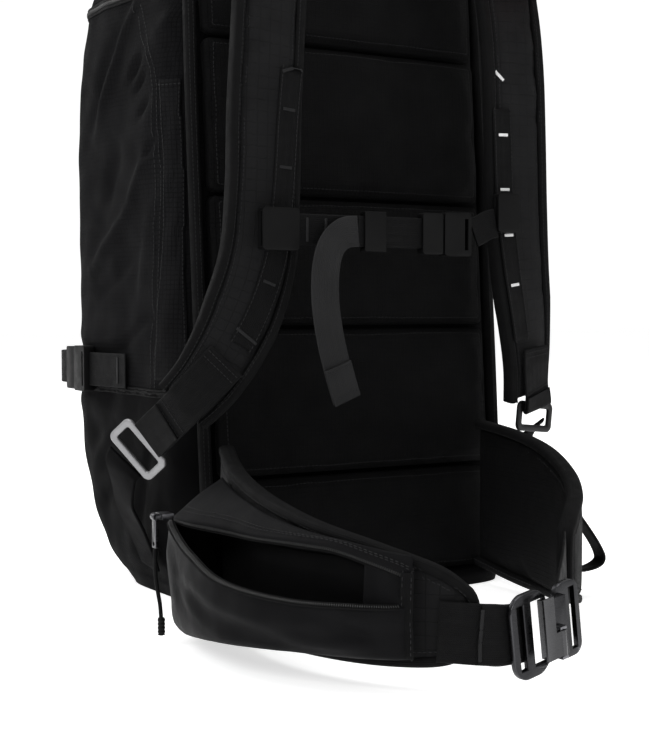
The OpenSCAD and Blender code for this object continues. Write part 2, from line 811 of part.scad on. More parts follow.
hip_wing_right();
hip_pocket();
pocket_zip();
pocket_slider();
pocket_puller();
pull_cord();
cord_end();
hip_webbing();
hip_buckle_frame();
hip_buckle_hook();
hip_buckle_latch();
gear_loop();
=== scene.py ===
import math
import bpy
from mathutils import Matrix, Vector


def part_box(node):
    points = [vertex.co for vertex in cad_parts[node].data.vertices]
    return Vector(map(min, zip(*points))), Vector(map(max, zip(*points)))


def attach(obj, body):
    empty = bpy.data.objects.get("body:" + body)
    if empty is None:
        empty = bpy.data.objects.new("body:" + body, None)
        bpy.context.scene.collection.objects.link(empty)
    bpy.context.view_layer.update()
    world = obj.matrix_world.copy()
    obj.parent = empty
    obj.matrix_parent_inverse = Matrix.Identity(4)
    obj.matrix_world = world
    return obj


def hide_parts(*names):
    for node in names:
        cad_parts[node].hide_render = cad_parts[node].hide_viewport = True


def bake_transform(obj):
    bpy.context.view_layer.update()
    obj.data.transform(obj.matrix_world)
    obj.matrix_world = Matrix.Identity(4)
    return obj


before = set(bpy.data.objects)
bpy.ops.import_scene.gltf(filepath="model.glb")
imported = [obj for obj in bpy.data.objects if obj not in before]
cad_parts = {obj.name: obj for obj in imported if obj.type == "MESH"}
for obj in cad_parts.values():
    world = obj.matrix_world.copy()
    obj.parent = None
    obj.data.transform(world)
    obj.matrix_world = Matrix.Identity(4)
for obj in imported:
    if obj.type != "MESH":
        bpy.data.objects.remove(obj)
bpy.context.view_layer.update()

# The looks of an avalanche airbag backpack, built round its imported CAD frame. Lengths are in millimetres
# until a mesh is made. +Y is away from the wearer's back, +Z is up, and the pack leans back.

from types import SimpleNamespace

import bmesh
import bpy
import numpy as np
from mathutils import Vector, noise
from mathutils.bvhtree import BVHTree
from mathutils.kdtree import KDTree

MM = 0.001
LEAN = math.tan(math.radians(4.5))
BODY_W, BODY_D, PACK_H = 366, 250, 612
SPLIT_Z, BOOT_Z = 525, 175
HINGE_Y, ZIP_START_Y = 106 + SPLIT_Z * LEAN, 122
SHELL_T = 2.4
STEPS = 8  # points on a curve for each span between the points that it is given by
scene = bpy.context.scene

# ---- Curves and meshes ---------------------------------------------------------------------------


def unit(v):
    v = np.asarray(v, float)
    return v / np.maximum(np.linalg.norm(v, axis=-1, keepdims=True), 1e-12)


def curve(points, steps):
    """A Catmull-Rom curve through the points, the same as in the CAD source."""
    p = np.asarray(points, float)
    last = len(p) - 1
    t = np.arange(last * steps + 1) / steps
    i = np.minimum(t.astype(int), last - 1)
    f = (t - i)[:, None]
    a, b, c, d = p[np.maximum(i - 1, 0)], p[i], p[i + 1], p[np.minimum(i + 2, last)]
    return 0.5 * (2 * b + f * (c - a) + f**2 * (2 * a - 5 * b + 4 * c - d) + f**3 * (3 * b - 3 * c + d - a))


def arc(path):
    """Length along a path at each of its points."""
    return np.concatenate([[0], np.cumsum(np.linalg.norm(np.diff(path, axis=0), axis=1))])


def resample(path, count):
    """So many points spread evenly along a path."""
    s = arc(path)
    at = np.linspace(0, s[-1], count)
    return np.stack([np.interp(at, s, path[:, k]) for k in range(path.shape[1])], axis=1)


def frames(path, faces):
    """Heading, side and face direction at each point of a path whose surface faces the given way."""
    t = unit(np.gradient(path, axis=0))
    side = unit(np.cross(faces, t))
    return t, side, np.cross(t, side)


def turn(count):
    """Angles of a full turn in equal steps."""
    return np.arange(count) * 2 * math.pi / count


def signed_power(x, power):
    return np.sign(x) * np.abs(x) ** power


def squared_oval(half_w, half_t, power_w, power_t, count):
    """Outline of a padded edge: an ellipse where the powers are 1, and squarer as they fall."""
    a = turn(count)
    across = half_w * signed_power(np.cos(a), power_w)
    return np.stack([across, half_t * signed_power(np.sin(a), power_t)], axis=1)


def make(name, verts, polys, look, body="pack", uvs=None, replaces=()):
    """A mesh piece in millimetres, with its look, its body and the CAD nodes it stands for."""
    me = bpy.data.meshes.new(name)
    me.from_pydata((np.asarray(verts) * MM).tolist(), [], [list(p) for p in polys])
    if uvs is not None:
        set_weave(me, uvs)
    me.materials.append(LOOKS[look])
    obj = bpy.data.objects.new(name, me)
    shade_smooth(obj)
    scene.collection.objects.link(obj)
    return enrol(obj, look, body, replaces)


def set_weave(me, uvs):
    """Gives each corner of a mesh its place on the cloth, in millimetres across and along."""
    layer = me.uv_layers.get("weave") or me.uv_layers.new(name="weave")
    layer.data.foreach_set("uv", (np.asarray(uvs) * MM).astype(np.float32).ravel())


def enrol(obj, look, body, replaces=()):
    """Tells the frame what a piece rides on and hides the CAD nodes it stands for."""
    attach(obj, body)
    if replaces:
        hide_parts(*replaces)
    return obj


def grid(name, rings, look, body="pack", wrap=True, caps=True, replaces=(), along=None):
    """A surface through rings of points. wrap joins each ring's ends, and caps closes the end rings."""
    rings = np.asarray(rings, float)
    m, n = rings.shape[:2]
    joined = np.concatenate([rings, rings[:, :1]], axis=1) if wrap else rings
    u = np.stack([arc(r) for r in joined])
    u -= u[:, -1:] / 2
    v = arc(rings.mean(axis=1)) if along is None else along
    polys, uvs = [], []
    for i, k in zip(range(m - 1), range(1, m)):
        for j in range(n if wrap else n - 1):
            h = (j + 1) % n
            polys.append((i * n + j, i * n + h, k * n + h, k * n + j))
            uvs += [(u[i, j], v[i]), (u[i, j + 1], v[i]), (u[k, j + 1], v[k]), (u[k, j], v[k])]
    if caps and wrap:
        for ring, order in ((0, range(n - 1, -1, -1)), (m - 1, range(n))):
            polys.append([ring * n + j for j in order])
            uvs += [(u[ring, j], v[ring]) for j in order]
    return make(name, rings.reshape(-1, 3), polys, look, body, uvs, replaces=replaces)


def band_outline(w, t, ridge=0.0):
    """Cross-section of a woven band: flat, with rounded edges and a slight selvedge ridge."""
    half, r = w / 2, t / 2
    top = [(-half + r, r + ridge), (-half + 2.2, r), (-half / 2, r), (0, r), (half / 2, r), (half - 2.2, r),
           (half - r, r + ridge)]
    edge = [(half - 0.25 * r, 0.6 * r), (half, 0), (half - 0.25 * r, -0.6 * r)]
    return top + edge + [(-x, -y) for x, y in top] + [(-x, -y) for x, y in edge]


def sweep(name, path, faces, outline, look, body="pack", replaces=(), scale=None):
    """The outline carried along a path. Its first number runs across the path, its second along the face."""
    _, side, up = frames(path, faces)
    q = np.asarray(outline, float)
    k = np.ones(len(path)) if scale is None else scale
    rings = path[:, None] + k[:, None, None] * q[None, :, :1] * side[:, None] + q[None, :, 1:] * up[:, None]
    return grid(name, rings[:, ::-1], look, body, replaces=replaces, along=arc(path))


def webbing(name, route, faces, w, look="webbing", body="pack", t=1.8, replaces=(), ripple=0.25):
    """A woven band of width w and thickness t, slightly uneven along its length."""
    path, turned = curve(route, STEPS), curve(faces, STEPS)
    _, _, up = frames(path, turned)
    s = arc(path)
    path = path + up * (ripple * np.sin(s / 23.0 + len(name)) * np.sin(np.pi * s / s[-1]))[:, None]
    return sweep(name, path, turned, band_outline(w, t, 0.12), look, body, replaces)


def tube(name, route, d, look, replaces=()):
    """A round cable. The way that its outline faces only has to differ from the way that it runs."""
    path = curve(route, STEPS)
    a = turn(16)
    outline = np.stack([np.cos(a), np.sin(a)], axis=1) * d / 2
    sweep(name, path, np.tile([0.31, 0.9, 0.3], (len(path), 1)), outline, look, replaces=replaces)


def mirrored(route):
    """The route on the other side of the pack."""
    return [(-p[0], *p[1:]) for p in route]


def both_sides(build, route, faces):
    """Calls build with a suffix, a route and its faces for the left side and then for the right side."""
    build("left", route, faces)
    build("right", mirrored(route), mirrored(faces))


def coords(obj):
    """A mesh's points in millimetres."""
    co = np.empty(len(obj.data.vertices) * 3, np.float32)
    obj.data.vertices.foreach_get("co", co)
    return co.reshape(-1, 3).astype(float) / MM


def set_coords(obj, points):
    obj.data.vertices.foreach_set("co", (points * MM).astype(np.float32).ravel())
    obj.data.update()


def normals(obj):
    out = np.empty(len(obj.data.vertices) * 3, np.float32)
    obj.data.vertices.foreach_get("normal", out)
    return out.reshape(-1, 3).astype(float)


def apply_modifiers(obj):
    """Makes what the modifiers give the object's own mesh."""
    graph = bpy.context.evaluated_depsgraph_get()
    made = bpy.data.meshes.new_from_object(obj.evaluated_get(graph))
    obj.modifiers.clear()
    obj.data = made


def modify(obj, kind, **settings):
    """Adds a modifier, with its settings by name."""
    m = obj.modifiers.new(kind.lower(), kind)
    for key, value in settings.items():
        setattr(m, key, value)
    return m


def thicken(obj, thickness, offset=0, **settings):
    modify(obj, "SOLIDIFY", thickness=thickness * MM, offset=offset, **settings)


def shade_smooth(obj):
    obj.data.polygons.foreach_set("use_smooth", [True] * len(obj.data.polygons))


# ---- Soft pieces ---------------------------------------------------------------------------------

PUFF_PRESSURE, PUFF_FRAMES = 4.0, 20


def puff(obj, cap, voxel, limit=None):
    """Blows the piece up a little like a foam pad in its cover. No point moves further than cap, and limit
    may hold the moves back more."""
    modify(obj, "REMESH", mode="VOXEL", voxel_size=voxel * MM)
    apply_modifiers(obj)
    rest = coords(obj)
    cloth = modify(obj, "CLOTH")
    cloth.settings.use_pressure = True
    cloth.settings.uniform_pressure_force = PUFF_PRESSURE
    cloth.settings.effector_weights.gravity = 0
    for step in range(1, PUFF_FRAMES + 1):
        scene.frame_set(step)
    apply_modifiers(obj)
    scene.frame_set(1)
    moved = coords(obj) - rest
    length = np.linalg.norm(moved, axis=1, keepdims=True)
    moved *= np.minimum(1, cap / np.maximum(length, 1e-9))
    if limit is not None:
        moved = limit(moved)
    set_coords(obj, rest + moved)
    modify(obj, "SUBSURF", levels=1, render_levels=1)
    apply_modifiers(obj)
    shade_smooth(obj)


def weave_by(obj, place):
    """Weave coordinates for a remeshed piece: place gives (across, along) for its vertices."""
    at = place(coords(obj))
    corner = np.empty(len(obj.data.loops), np.int32)
    obj.data.loops.foreach_get("vertex_index", corner)
    set_weave(obj.data, at[corner])


def search_tree(points):
    tree = KDTree(len(points))
    for i, p in enumerate(points):
        tree.insert(p, i)
    tree.balance()
    return tree


def along_path(path, faces):
    """A function for weave_by that measures (across, along) from a path."""
    fine = resample(path, 400)
    _, side, _ = frames(fine, resample(faces, 400))
    tree = search_tree(fine)
    s = arc(fine)

    def place(points):
        near = np.array([tree.find(p)[1] for p in points])
        return np.stack([((points - fine[near]) * side[near]).sum(1), s[near]], axis=1)

    return place


def evenly(line, pitch, least):
    """The line's points a pitch apart, and at least so many."""
    line = np.asarray(line, float)
    return resample(line, max(least, int(arc(line)[-1] / pitch)))


def distance_to(lines, points):
    """Distance from each point to the nearest of the lines."""
    tree = search_tree(np.concatenate([evenly(line, 1.5, 2) for line in lines]))
    return np.array([tree.find(p)[2] for p in points])


def press(obj, lines, width, depth):
    """Presses sewn channels into a piece along the lines."""
    co = coords(obj)
    d = distance_to(lines, co)
    set_coords(obj, co - normals(obj) * (depth * np.exp(-((d / width) ** 2)))[:, None])


def surface_of(*objs):
    """The objects' finished surface, for finding places on it."""
    graph = bpy.context.evaluated_depsgraph_get()
    verts, polys = [], []
    for o in objs:
        ev = o.evaluated_get(graph)
        me = ev.to_mesh()
        base = len(verts)
        verts += [v.co / MM for v in me.vertices]
        polys += [[base + i for i in p.vertices] for p in me.polygons]
        ev.to_mesh_clear()
    return BVHTree.FromPolygons(verts, polys)


def laid_on(tree, points, lift):
    """The points moved to the nearest place on a surface, and the surface's directions there."""
    hits = [tree.find_nearest(Vector(p)) for p in points]
    out = np.array([h[1] for h in hits], float)
    return np.array([h[0] for h in hits], float) + out * lift, out


CAPSULE = [(-1, 0.25), (-0.82, 0.85), (-0.3, 1.0), (0.3, 1.0), (0.82, 0.85), (1, 0.25)]


def threads(name, centres, headings, ups, length, radius, look, body="pack"):
    """Short threads, each a small capsule lying along its heading."""
    n, sides = len(centres), 6
    h = unit(headings)
    s = unit(np.cross(ups, h))
    u = np.cross(h, s)
    shape = np.array([(x * length / 2, r * radius * math.cos(b), r * radius * math.sin(b))
                      for x, r in CAPSULE for b in turn(sides)])
    verts = (centres[:, None] + shape[None, :, :1] * h[:, None] + shape[None, :, 1:2] * s[:, None]
             + shape[None, :, 2:] * u[:, None]).reshape(-1, 3)
    rings = len(CAPSULE)
    one = []
    for i in range(rings - 1):
        for j in range(sides):
            h = (j + 1) % sides
            one.append((i * sides + j, i * sides + h, (i + 1) * sides + h, (i + 1) * sides + j))
    one += [tuple(range(sides - 1, -1, -1)), tuple(range((rings - 1) * sides, rings * sides))]
    polys = [[k * len(shape) + i for i in p] for k in range(n) for p in one]
    make(name, verts, polys, look, body)


def stitches(name, lines, targets, body="pack", pitch=3.6, length=2.5):
    """Rows of running stitches along the lines, sunk a little into the targets' surface."""
    tree = surface_of(*targets)
    rows = []
    for line in lines:
        points, out = laid_on(tree, evenly(line, pitch, 2), 0.12)
        rows.append((points, np.gradient(points, axis=0), out))
    threads(name, *map(np.concatenate, zip(*rows)), length, 0.36, "thread_dark", body)


def bartacks(name, bars, targets, look="thread_dark", body="pack"):
    """Dense bars of crossing threads. Each bar is its two ends."""
    tree = surface_of(*targets)
    rows = []
    for bar in bars:
        points, out = laid_on(tree, evenly(bar, 0.62, 4), 0.3)
        rows.append((points, unit(np.cross(out, np.subtract(bar[1], bar[0]))), out))
    threads(name, *map(np.concatenate, zip(*rows)), 2.6, 0.42, look, body)


def zip_line(name, path, faces, tape, replaces=()):
    """A coil zip: a flat tape with a row of coils along its middle."""
    path, faces = np.asarray(path, float), np.asarray(faces, float)
    sweep(name, path, faces, band_outline(tape, 1.0), "binding", replaces=replaces)
    fine = resample(path, int(arc(path)[-1] / 1.5))
    _, side, up = frames(fine, resample(faces, len(fine)))
    threads(name + "_coil", fine + up * 0.75, side, up, 3.4, 0.62, "coil_nylon")


# ---- Materials -----------------------------------------------------------------------------------


class Look:
    """A Principled material and short ways to add nodes to it."""

    def __init__(self, name, **sockets):
        self.material = bpy.data.materials.new(name)
        self.material.use_nodes = True
        self.tree = self.material.node_tree
        self.shader = next(n for n in self.tree.nodes if n.type == "BSDF_PRINCIPLED")
        for key, value in sockets.items():
            self.shader.inputs[key.replace("_", " ")].default_value = value

    def node(self, kind, inputs=(), **settings):
        n = self.tree.nodes.new("ShaderNode" + kind)
        for key, value in settings.items():
            setattr(n, key, value)
        for key, value in dict(inputs).items():
            self.feed(n.inputs[key], value)
        return n

    def feed(self, socket, value):
        if isinstance(value, bpy.types.NodeSocket):
            self.tree.links.new(value, socket)
        else:
            socket.default_value = value

    def math(self, operation, a, b=0.0, c=0.0):
        return self.node("Math", {0: a, 1: b, 2: c}, operation=operation).outputs[0]

    def span(self, value, low, high, to_low=0.0, to_high=1.0):
        inputs = {"Value": value, "From Min": low, "From Max": high, "To Min": to_low, "To Max": to_high}
        return self.node("MapRange", inputs).outputs[0]

    def noise(self, scale, detail=3.0, stretch=None):
        where = self.node("TexCoord").outputs["Object"]
        if stretch:
            where = self.node("Mapping", {"Vector": where, "Scale": stretch}).outputs[0]
        return self.node("TexNoise", {"Vector": where, "Scale": scale, "Detail": detail}).outputs["Fac"]

    def mix(self, factor, a, b):
        n = self.node("Mix", data_type="RGBA")
        self.feed(n.inputs["Factor"], factor)
        self.feed(n.inputs[6], a)
        self.feed(n.inputs[7], b)
        return n.outputs[2]

    def edges(self, low=0.52, high=0.62):
        return self.span(self.node("NewGeometry").outputs["Pointiness"], low, high)

    def colour(self, value):
        self.feed(self.shader.inputs["Base Color"], value)

    def rough(self, value):
        self.feed(self.shader.inputs["Roughness"], value)

    def bump(self, *layers):
        """Each layer is a height and how far it stands, in millimetres."""
        last = None
        for height, distance in layers:
            inputs = {"Height": height, "Distance": distance * MM, "Strength": 1.0}
            if last is not None:
                inputs["Normal"] = last
            last = self.node("Bump", inputs).outputs[0]
        self.feed(self.shader.inputs["Normal"], last)


def tint(c, k):
    """The colour, k times as bright."""
    return (min(1, c[0] * k), min(1, c[1] * k), min(1, c[2] * k), 1)


def wave(look, value, period):
    """A sine that repeats every period, in millimetres."""
    return look.math("SINE", look.math("MULTIPLY", value, 2 * math.pi / (period * MM)))


def lines_at(look, value, cell, width):
    """1 on lines that repeat every cell, else 0."""
    d = look.math("PINGPONG", value, cell * MM / 2)
    return look.span(d, width * MM * 0.5, width * MM, 1.0, 0.0)


def woven(look):
    """Where a point lies across and along the cloth."""
    uv = look.node("SeparateXYZ", {0: look.node("UVMap", uv_map="weave").outputs[0]})
    return uv.outputs[0], uv.outputs[1]


def worn_edges(look, base, colour, share=0.5, low=0.52, high=0.62):
    """The base colour, rubbed to another along the edges."""
    return look.mix(look.math("MULTIPLY", look.edges(low, high), share), base, colour)


def cloth_look(name, c, thread=0.9, cell=0.0, sheen=0.015, rough=0.66, relief=0.12, wear=1.5, gloss=0.13):
    """Woven fabric. cell adds a ripstop grid of thicker threads at that spacing."""
    k = Look(name, Sheen_Weight=sheen, Sheen_Roughness=0.45, Specular_IOR_Level=gloss)
    u, v = woven(k)
    weave = k.math("MULTIPLY", wave(k, u, thread), wave(k, v, thread))
    height = weave
    fade = k.span(k.noise(14.0, 4.0), 0.35, 0.7)
    fleck = k.span(k.noise(900.0, 2.0), 0.3, 0.75)
    base = k.mix(fade, tint(c, 0.82), tint(c, 1.25))
    base = k.mix(k.math("MULTIPLY", fleck, 0.45), base, tint(c, 1.55))
    if cell:
        ripstop = k.math("MAXIMUM", lines_at(k, u, cell, 0.42), lines_at(k, v, cell, 0.42))
        height = k.math("ADD", weave, k.math("MULTIPLY", ripstop, 2.2))
        base = k.mix(k.math("MULTIPLY", ripstop, 0.6), base, tint(c, 0.3))
    k.colour(worn_edges(k, base, tint(c, wear * 1.4)))
    k.rough(k.span(k.noise(40.0, 3.0), 0.3, 0.7, rough - 0.08, rough + 0.1))
    k.bump((k.noise(55.0, 4.0), 0.5), (height, relief))
    return k.material


def webbing_look(name, c, rib=1.3, rough=0.62):
    """Herringbone tape: fine ribs across it that change lean along it."""
    k = Look(name, Sheen_Weight=0.0, Sheen_Roughness=0.4, Specular_IOR_Level=0.09)
    u, v = woven(k)
    zigzag = k.math("PINGPONG", u, 3.0 * MM)
    twill = wave(k, k.math("ADD", v, zigzag), rib)
    cord = wave(k, u, 1.5)
    height = k.math("ADD", k.math("MULTIPLY", twill, 0.7), k.math("MULTIPLY", cord, 0.5))
    # Painted shade and highlight: the colour is darker in the weave's low grooves and lighter on its raised
    # ribs.
    base = k.mix(k.span(height, -1.0, 1.0), tint(c, 0.7), tint(c, 1.35))
    base = k.mix(k.span(k.noise(30.0, 4.0), 0.4, 0.75), base, tint(c, 1.3))
    k.colour(worn_edges(k, base, tint(c, 2.2)))
    k.rough(k.span(k.noise(120.0, 2.0), 0.3, 0.7, rough - 0.06, rough + 0.1))
    k.bump((k.noise(140.0, 2.0), 0.12), (height, 0.16))
    return k.material


def plastic_look(name, c, rough=0.42, worn=1.8, grain=0.03, gloss=0.5):
    """Moulded plastic with a fine grain."""
    k = Look(name, Specular_IOR_Level=gloss)
    base = k.mix(k.span(k.noise(60.0, 4.0), 0.35, 0.7), tint(c, 0.88), tint(c, 1.15))
    k.colour(worn_edges(k, base, tint(c, worn), 0.6, 0.53, 0.66))
    k.rough(k.span(k.noise(90.0, 4.0), 0.3, 0.7, rough - 0.08, rough + 0.1))
    k.bump((k.noise(2200.0, 2.0), grain), (k.noise(130.0, 2.0), 0.05))
    return k.material


BRUSHED = (1, 1, 14)


def metal_look(name, c, rough=0.35, worn=1.5, right=1.0):
    """Brushed or coated metal. right is how bright the pieces on the right side are beside the others:
    painted shade, as they are the same metal in shadow.
    """
    k = Look(name, Metallic=1.0)
    base = k.mix(k.span(k.noise(50.0, 4.0), 0.3, 0.7), tint(c, 0.9), tint(c, 1.1))
    base = k.mix(k.edges(0.52, 0.6), base, tint(c, worn))
    # Painted shade: pieces right of the middle (object x above 0) have their colour darkened to right times
    # it, for the shadow they lie in.
    if right != 1.0:
        x = k.node("SeparateXYZ", {0: k.node("TexCoord").outputs["Object"]}).outputs[0]
        base = k.mix(k.span(x, -0.05, 0.05), base, tint(c, right))
    k.colour(base)
    k.rough(k.span(k.noise(240.0, 4.0, BRUSHED), 0.3, 0.7, rough - 0.08, rough + 0.12))
    k.bump((k.noise(500.0, 3.0, BRUSHED), 0.02))
    return k.material


FINISHES = [
    ("ripstop", cloth_look, (0.0044, 0.0044, 0.0048), dict(cell=4.0, rough=0.8, sheen=0.0, gloss=0.045)),
    ("side_fabric", cloth_look, (0.0064, 0.0064, 0.0069), dict(cell=4.0, rough=0.76, sheen=0.0, gloss=0.05)),
    ("coated_fabric", cloth_look, (0.0036, 0.0036, 0.004),
     dict(thread=0.6, rough=0.56, relief=0.06, sheen=0.0, gloss=0.06)),
    ("boot_fabric", cloth_look, (0.0022, 0.0022, 0.0024),
     dict(thread=0.6, rough=0.7, relief=0.06, sheen=0.0, gloss=0.03)),
    ("back_foam", cloth_look, (0.0016, 0.0016, 0.0018), dict(thread=0.8, cell=4.0, sheen=0.008, gloss=0.07)),
    ("strap_foam", cloth_look, (0.0048, 0.0048, 0.0052), dict(cell=9.0, gloss=0.11)),
    ("webbing", webbing_look, (0.0024, 0.0024, 0.0026), dict()),
    ("binding", webbing_look, (0.003, 0.003, 0.0032), dict(rib=0.9, rough=0.7)),
    ("black_plastic", plastic_look, (0.0012, 0.0012, 0.0013), dict(rough=0.52, gloss=0.12, worn=4.0)),
    ("sheet_plastic", plastic_look, (0.05, 0.05, 0.052), dict(rough=0.5)),
    ("stay_aluminium", metal_look, (0.75, 0.76, 0.78), dict()),
    # right=0.1 is painted shade on the right-hand ring, which is the same metal as the left one.
    ("ring_metal", metal_look, (0.24, 0.24, 0.245), dict(rough=0.45, right=0.1)),
    ("buckle_metal", metal_look, (0.03, 0.03, 0.032), dict(rough=0.3, worn=5.0)),
    ("latch_steel", metal_look, (0.05, 0.05, 0.052), dict(rough=0.3, worn=2.6)),
    ("airbag_nylon", cloth_look, (0.75, 0.2, 0.03), dict(thread=0.7, rough=0.6, wear=1.1, gloss=0.35)),
    ("battery_wrap", plastic_look, (0.02, 0.07, 0.04), dict(rough=0.3)),
    ("signal_red", plastic_look, (0.5, 0.03, 0.02), dict(rough=0.38, worn=1.2)),
    ("fan_plastic", plastic_look, (0.6, 0.6, 0.58), dict(rough=0.45, worn=1.1)),
    ("cable_sheath", plastic_look, (0.005, 0.005, 0.005), dict(rough=0.5, gloss=0.3)),
    ("webbing_pale", webbing_look, (0.016, 0.016, 0.0165), dict()),
    ("lining", cloth_look, (0.001, 0.001, 0.0011), dict(thread=0.6, rough=0.6, relief=0.05, gloss=0.04)),
    ("thread_dark", plastic_look, (0.009, 0.009, 0.0095), dict(rough=0.6, grain=0.05, gloss=0.2)),
    ("thread_white", plastic_look, (0.7, 0.7, 0.7), dict(rough=0.6, worn=1.1, grain=0.05)),
    ("coil_nylon", plastic_look, (0.004, 0.004, 0.004), dict(rough=0.35, grain=0.01, gloss=0.35)),
]
LOOKS = {name: build(name, colour, **settings) for name, build, colour, settings in FINISHES}

# ---- Camera, light and floor ---------------------------------------------------------------------


CAMERA_PLACE, CAMERA_LENS = (-0.601, -0.961, 0.246), 63.9
CAMERA_YAW, CAMERA_PITCH = 30.03, 2.85
WHITE = (1, 1, 1, 1)
ROOM_LIGHT, BACKDROP_LIGHT, FLOOR_GLOW = 0.42, 1.05, 0.62
FLOOR_REACH, FLOOR_Z = 12, -0.0004
LAMPS = [("key", (-2.2, -0.9, 1.9), (0, 0, 0.25), 1.2, 26), ("fill", (0.9, -2.6, 1.5), (0, 0, 0.25), 1.8, 7),
         ("top", (0.1, 0.3, 2.6), (0, 0, 0.0), 2.2, 45), ("back", (-1.2, 2.2, 1.6), (0, 0.1, 0.3), 1.8, 24)]


def add_camera():
    """The camera as it was fitted to the photo. Its place is in metres and its angles in degrees."""
    data = bpy.data.cameras.new("camera")
    data.lens, data.sensor_width = CAMERA_LENS, 36
    data.clip_end = 30
    cam = bpy.data.objects.new("camera", data)
    scene.collection.objects.link(cam)
    cam.location = CAMERA_PLACE
    yaw, pitch = math.radians(CAMERA_YAW), math.radians(CAMERA_PITCH)
    ahead = Vector((math.sin(yaw) * math.cos(pitch), math.cos(yaw) * math.cos(pitch), -math.sin(pitch)))
    cam.rotation_euler = ahead.to_track_quat("-Z", "Y").to_euler()
    scene.camera = cam


def add_light(name, place, target, size, power):
    """A square lamp that faces its target, in metres and watts."""
    data = bpy.data.lights.new(name, "AREA")
    data.shape, data.size, data.energy = "SQUARE", size, power
    lamp = bpy.data.objects.new(name, data)
    lamp.location = place
    lamp.rotation_euler = (Vector(target) - Vector(place)).to_track_quat("-Z", "Y").to_euler()
    scene.collection.objects.link(lamp)


def add_floor():
    me = bpy.data.meshes.new("floor")
    corners = [(x * FLOOR_REACH, y * FLOOR_REACH, FLOOR_Z) for x, y in ((-1, -1), (1, -1), (1, 1), (-1, 1))]
    me.from_pydata(corners, [], [(0, 1, 2, 3)])
    floor = bpy.data.objects.new("floor", me)
    scene.collection.objects.link(floor)
    paper = Look("floor_paper", Roughness=0.9, Specular_IOR_Level=0.1, Emission_Strength=FLOOR_GLOW)
    paper.shader.inputs["Emission Color"].default_value = WHITE
    paper.colour((0.9, 0.9, 0.9, 1))
    me.materials.append(paper.material)


def add_world():
    """A white room, which the camera sees a little brighter than it lights the pack."""
    world = bpy.data.worlds.new("studio")
    world.use_nodes = True
    nodes, links = world.node_tree.nodes, world.node_tree.links
    room = next(n for n in nodes if n.type == "BACKGROUND")
    backdrop = nodes.new("ShaderNodeBackground")
    for node, strength in ((room, ROOM_LIGHT), (backdrop, BACKDROP_LIGHT)):
        node.inputs["Color"].default_value = WHITE
        node.inputs["Strength"].default_value = strength
    seen = nodes.new("ShaderNodeLightPath")
    both = nodes.new("ShaderNodeMixShader")
    links.new(seen.outputs["Is Camera Ray"], both.inputs[0])
    links.new(room.outputs[0], both.inputs[1])
    links.new(backdrop.outputs[0], both.inputs[2])
    links.new(both.outputs[0], next(n for n in nodes if n.type == "OUTPUT_WORLD").inputs["Surface"])
    scene.world = world


def add_studio():
    """A white floor that melts into a white background, and large soft lamps."""
    add_floor()
    add_world()
    for lamp in LAMPS:
        add_light(*lamp)
    scene.view_settings.view_transform = "Standard"


# ---- Pull cord of the hip pocket -----------------------------------------------------------------

CORD_ROUTE = [(-226.7, -66, 71), (-227, -67, 62), (-227.5, -69, 52), (-227, -71, 42), (-226, -73, 32),
              (-226, -75, 22)]
CORD_D = 3.0


def add_pull_cord():
    path = curve(CORD_ROUTE, 6)
    data = bpy.data.curves.new("pull_cord_braid", "CURVE")
    data.dimensions = "3D"
    data.bevel_depth, data.bevel_resolution, data.use_fill_caps = CORD_D / 2 * MM, 4, True
    spline = data.splines.new("POLY")
    spline.points.add(len(path) - 1)
    for point, p in zip(spline.points, path):
        point.co = (*(p * MM), 1)
    data.materials.append(LOOKS["binding"])
    cord = bpy.data.objects.new("pull_cord_braid", data)
    scene.collection.objects.link(cord)
    enrol(cord, "binding", "zip_puller", ["pull_cord"])
    end = add_cord_end()
    arc(path)[-1] * MM


def add_cord_end():
    """A moulded end cap with a waist and grip ribs."""
    x, y, low, high, radius = -226, -75.4, 9.5, 23.0, 3.0
    a = turn(24)
    rings = []
    for f in np.linspace(0, 1, 25):
        z = low + (high - low) * f
        rounding = min(1, (1 - abs(2 * f - 1) ** 6) ** 0.5 + 0.35)
        r = radius * rounding * (0.86 + 0.08 * math.cos(f * 30))
        rings.append(np.stack([x + r * np.cos(a), y + r * np.sin(a), np.full(24, z)], axis=1))
    return grid("cord_end_cap", rings, "black_plastic", "zip_puller", replaces=["cord_end"])


# ---- Bag -----------------------------------------------------------------------------------------

# The bag's outline at each height: how far each side is in from its widest place, how far the front is in
# from its deepest, and where the back is.
NARROW = [(0, 24), (25, 13), (65, 5), (110, 1), (160, 0), (400, 1), (480, 5), (525, 12), (565, 26), (590, 46),
          (604, 70), (612, 100)]
FRONT = [(0, 64), (25, 31), (65, 8), (110, -2), (160, -2), (216, 0), (300, 6), (420, 14), (480, 20),
         (525, 27), (565, 46), (590, 68), (604, 90), (612, 116)]
BACK = [(0, -6), (11, -8), (13, 18), (565, 18), (590, 26), (604, 40), (612, 62)]
BACK_SQUARE, FRONT_SQUARE = 0.24, 0.38


def table(z, rows, spread):
    """A table's value at a height, smoothed over the given spread."""
    x, y = zip(*rows)
    return np.mean([np.interp(np.clip(z + d, 0, PACK_H), x, y) for d in np.linspace(-spread, spread, 9)])


def bag_ring(z, count, inset=0.0):
    """Outline of the bag at a height, evenly spaced and starting at the middle of the back."""
    spread = min(10, 2 + z * 0.2, 1 + (PACK_H - z) * 0.5)
    back = table(z, BACK, 0.5 if z < 30 else spread) + inset
    front = BODY_D - table(z, FRONT, spread) - inset
    hw = BODY_W / 2 - table(z, NARROW, spread) - inset
    mid, reach = (back + front) / 2, (front - back) / 2
    a = (np.arange(1441) / 4 - 90) * math.pi / 180
    squareness = np.where(np.sin(a) < 0, BACK_SQUARE, FRONT_SQUARE)
    v = signed_power(np.sin(a), squareness)
    u = signed_power(np.cos(a), squareness)
    narrower = 1 - 0.05 * (1 - v)
    ring = np.stack([u * hw * narrower, mid + v * reach + z * LEAN, np.full(len(a), float(z))], axis=1)
    return resample(ring, count + 1)[:-1]


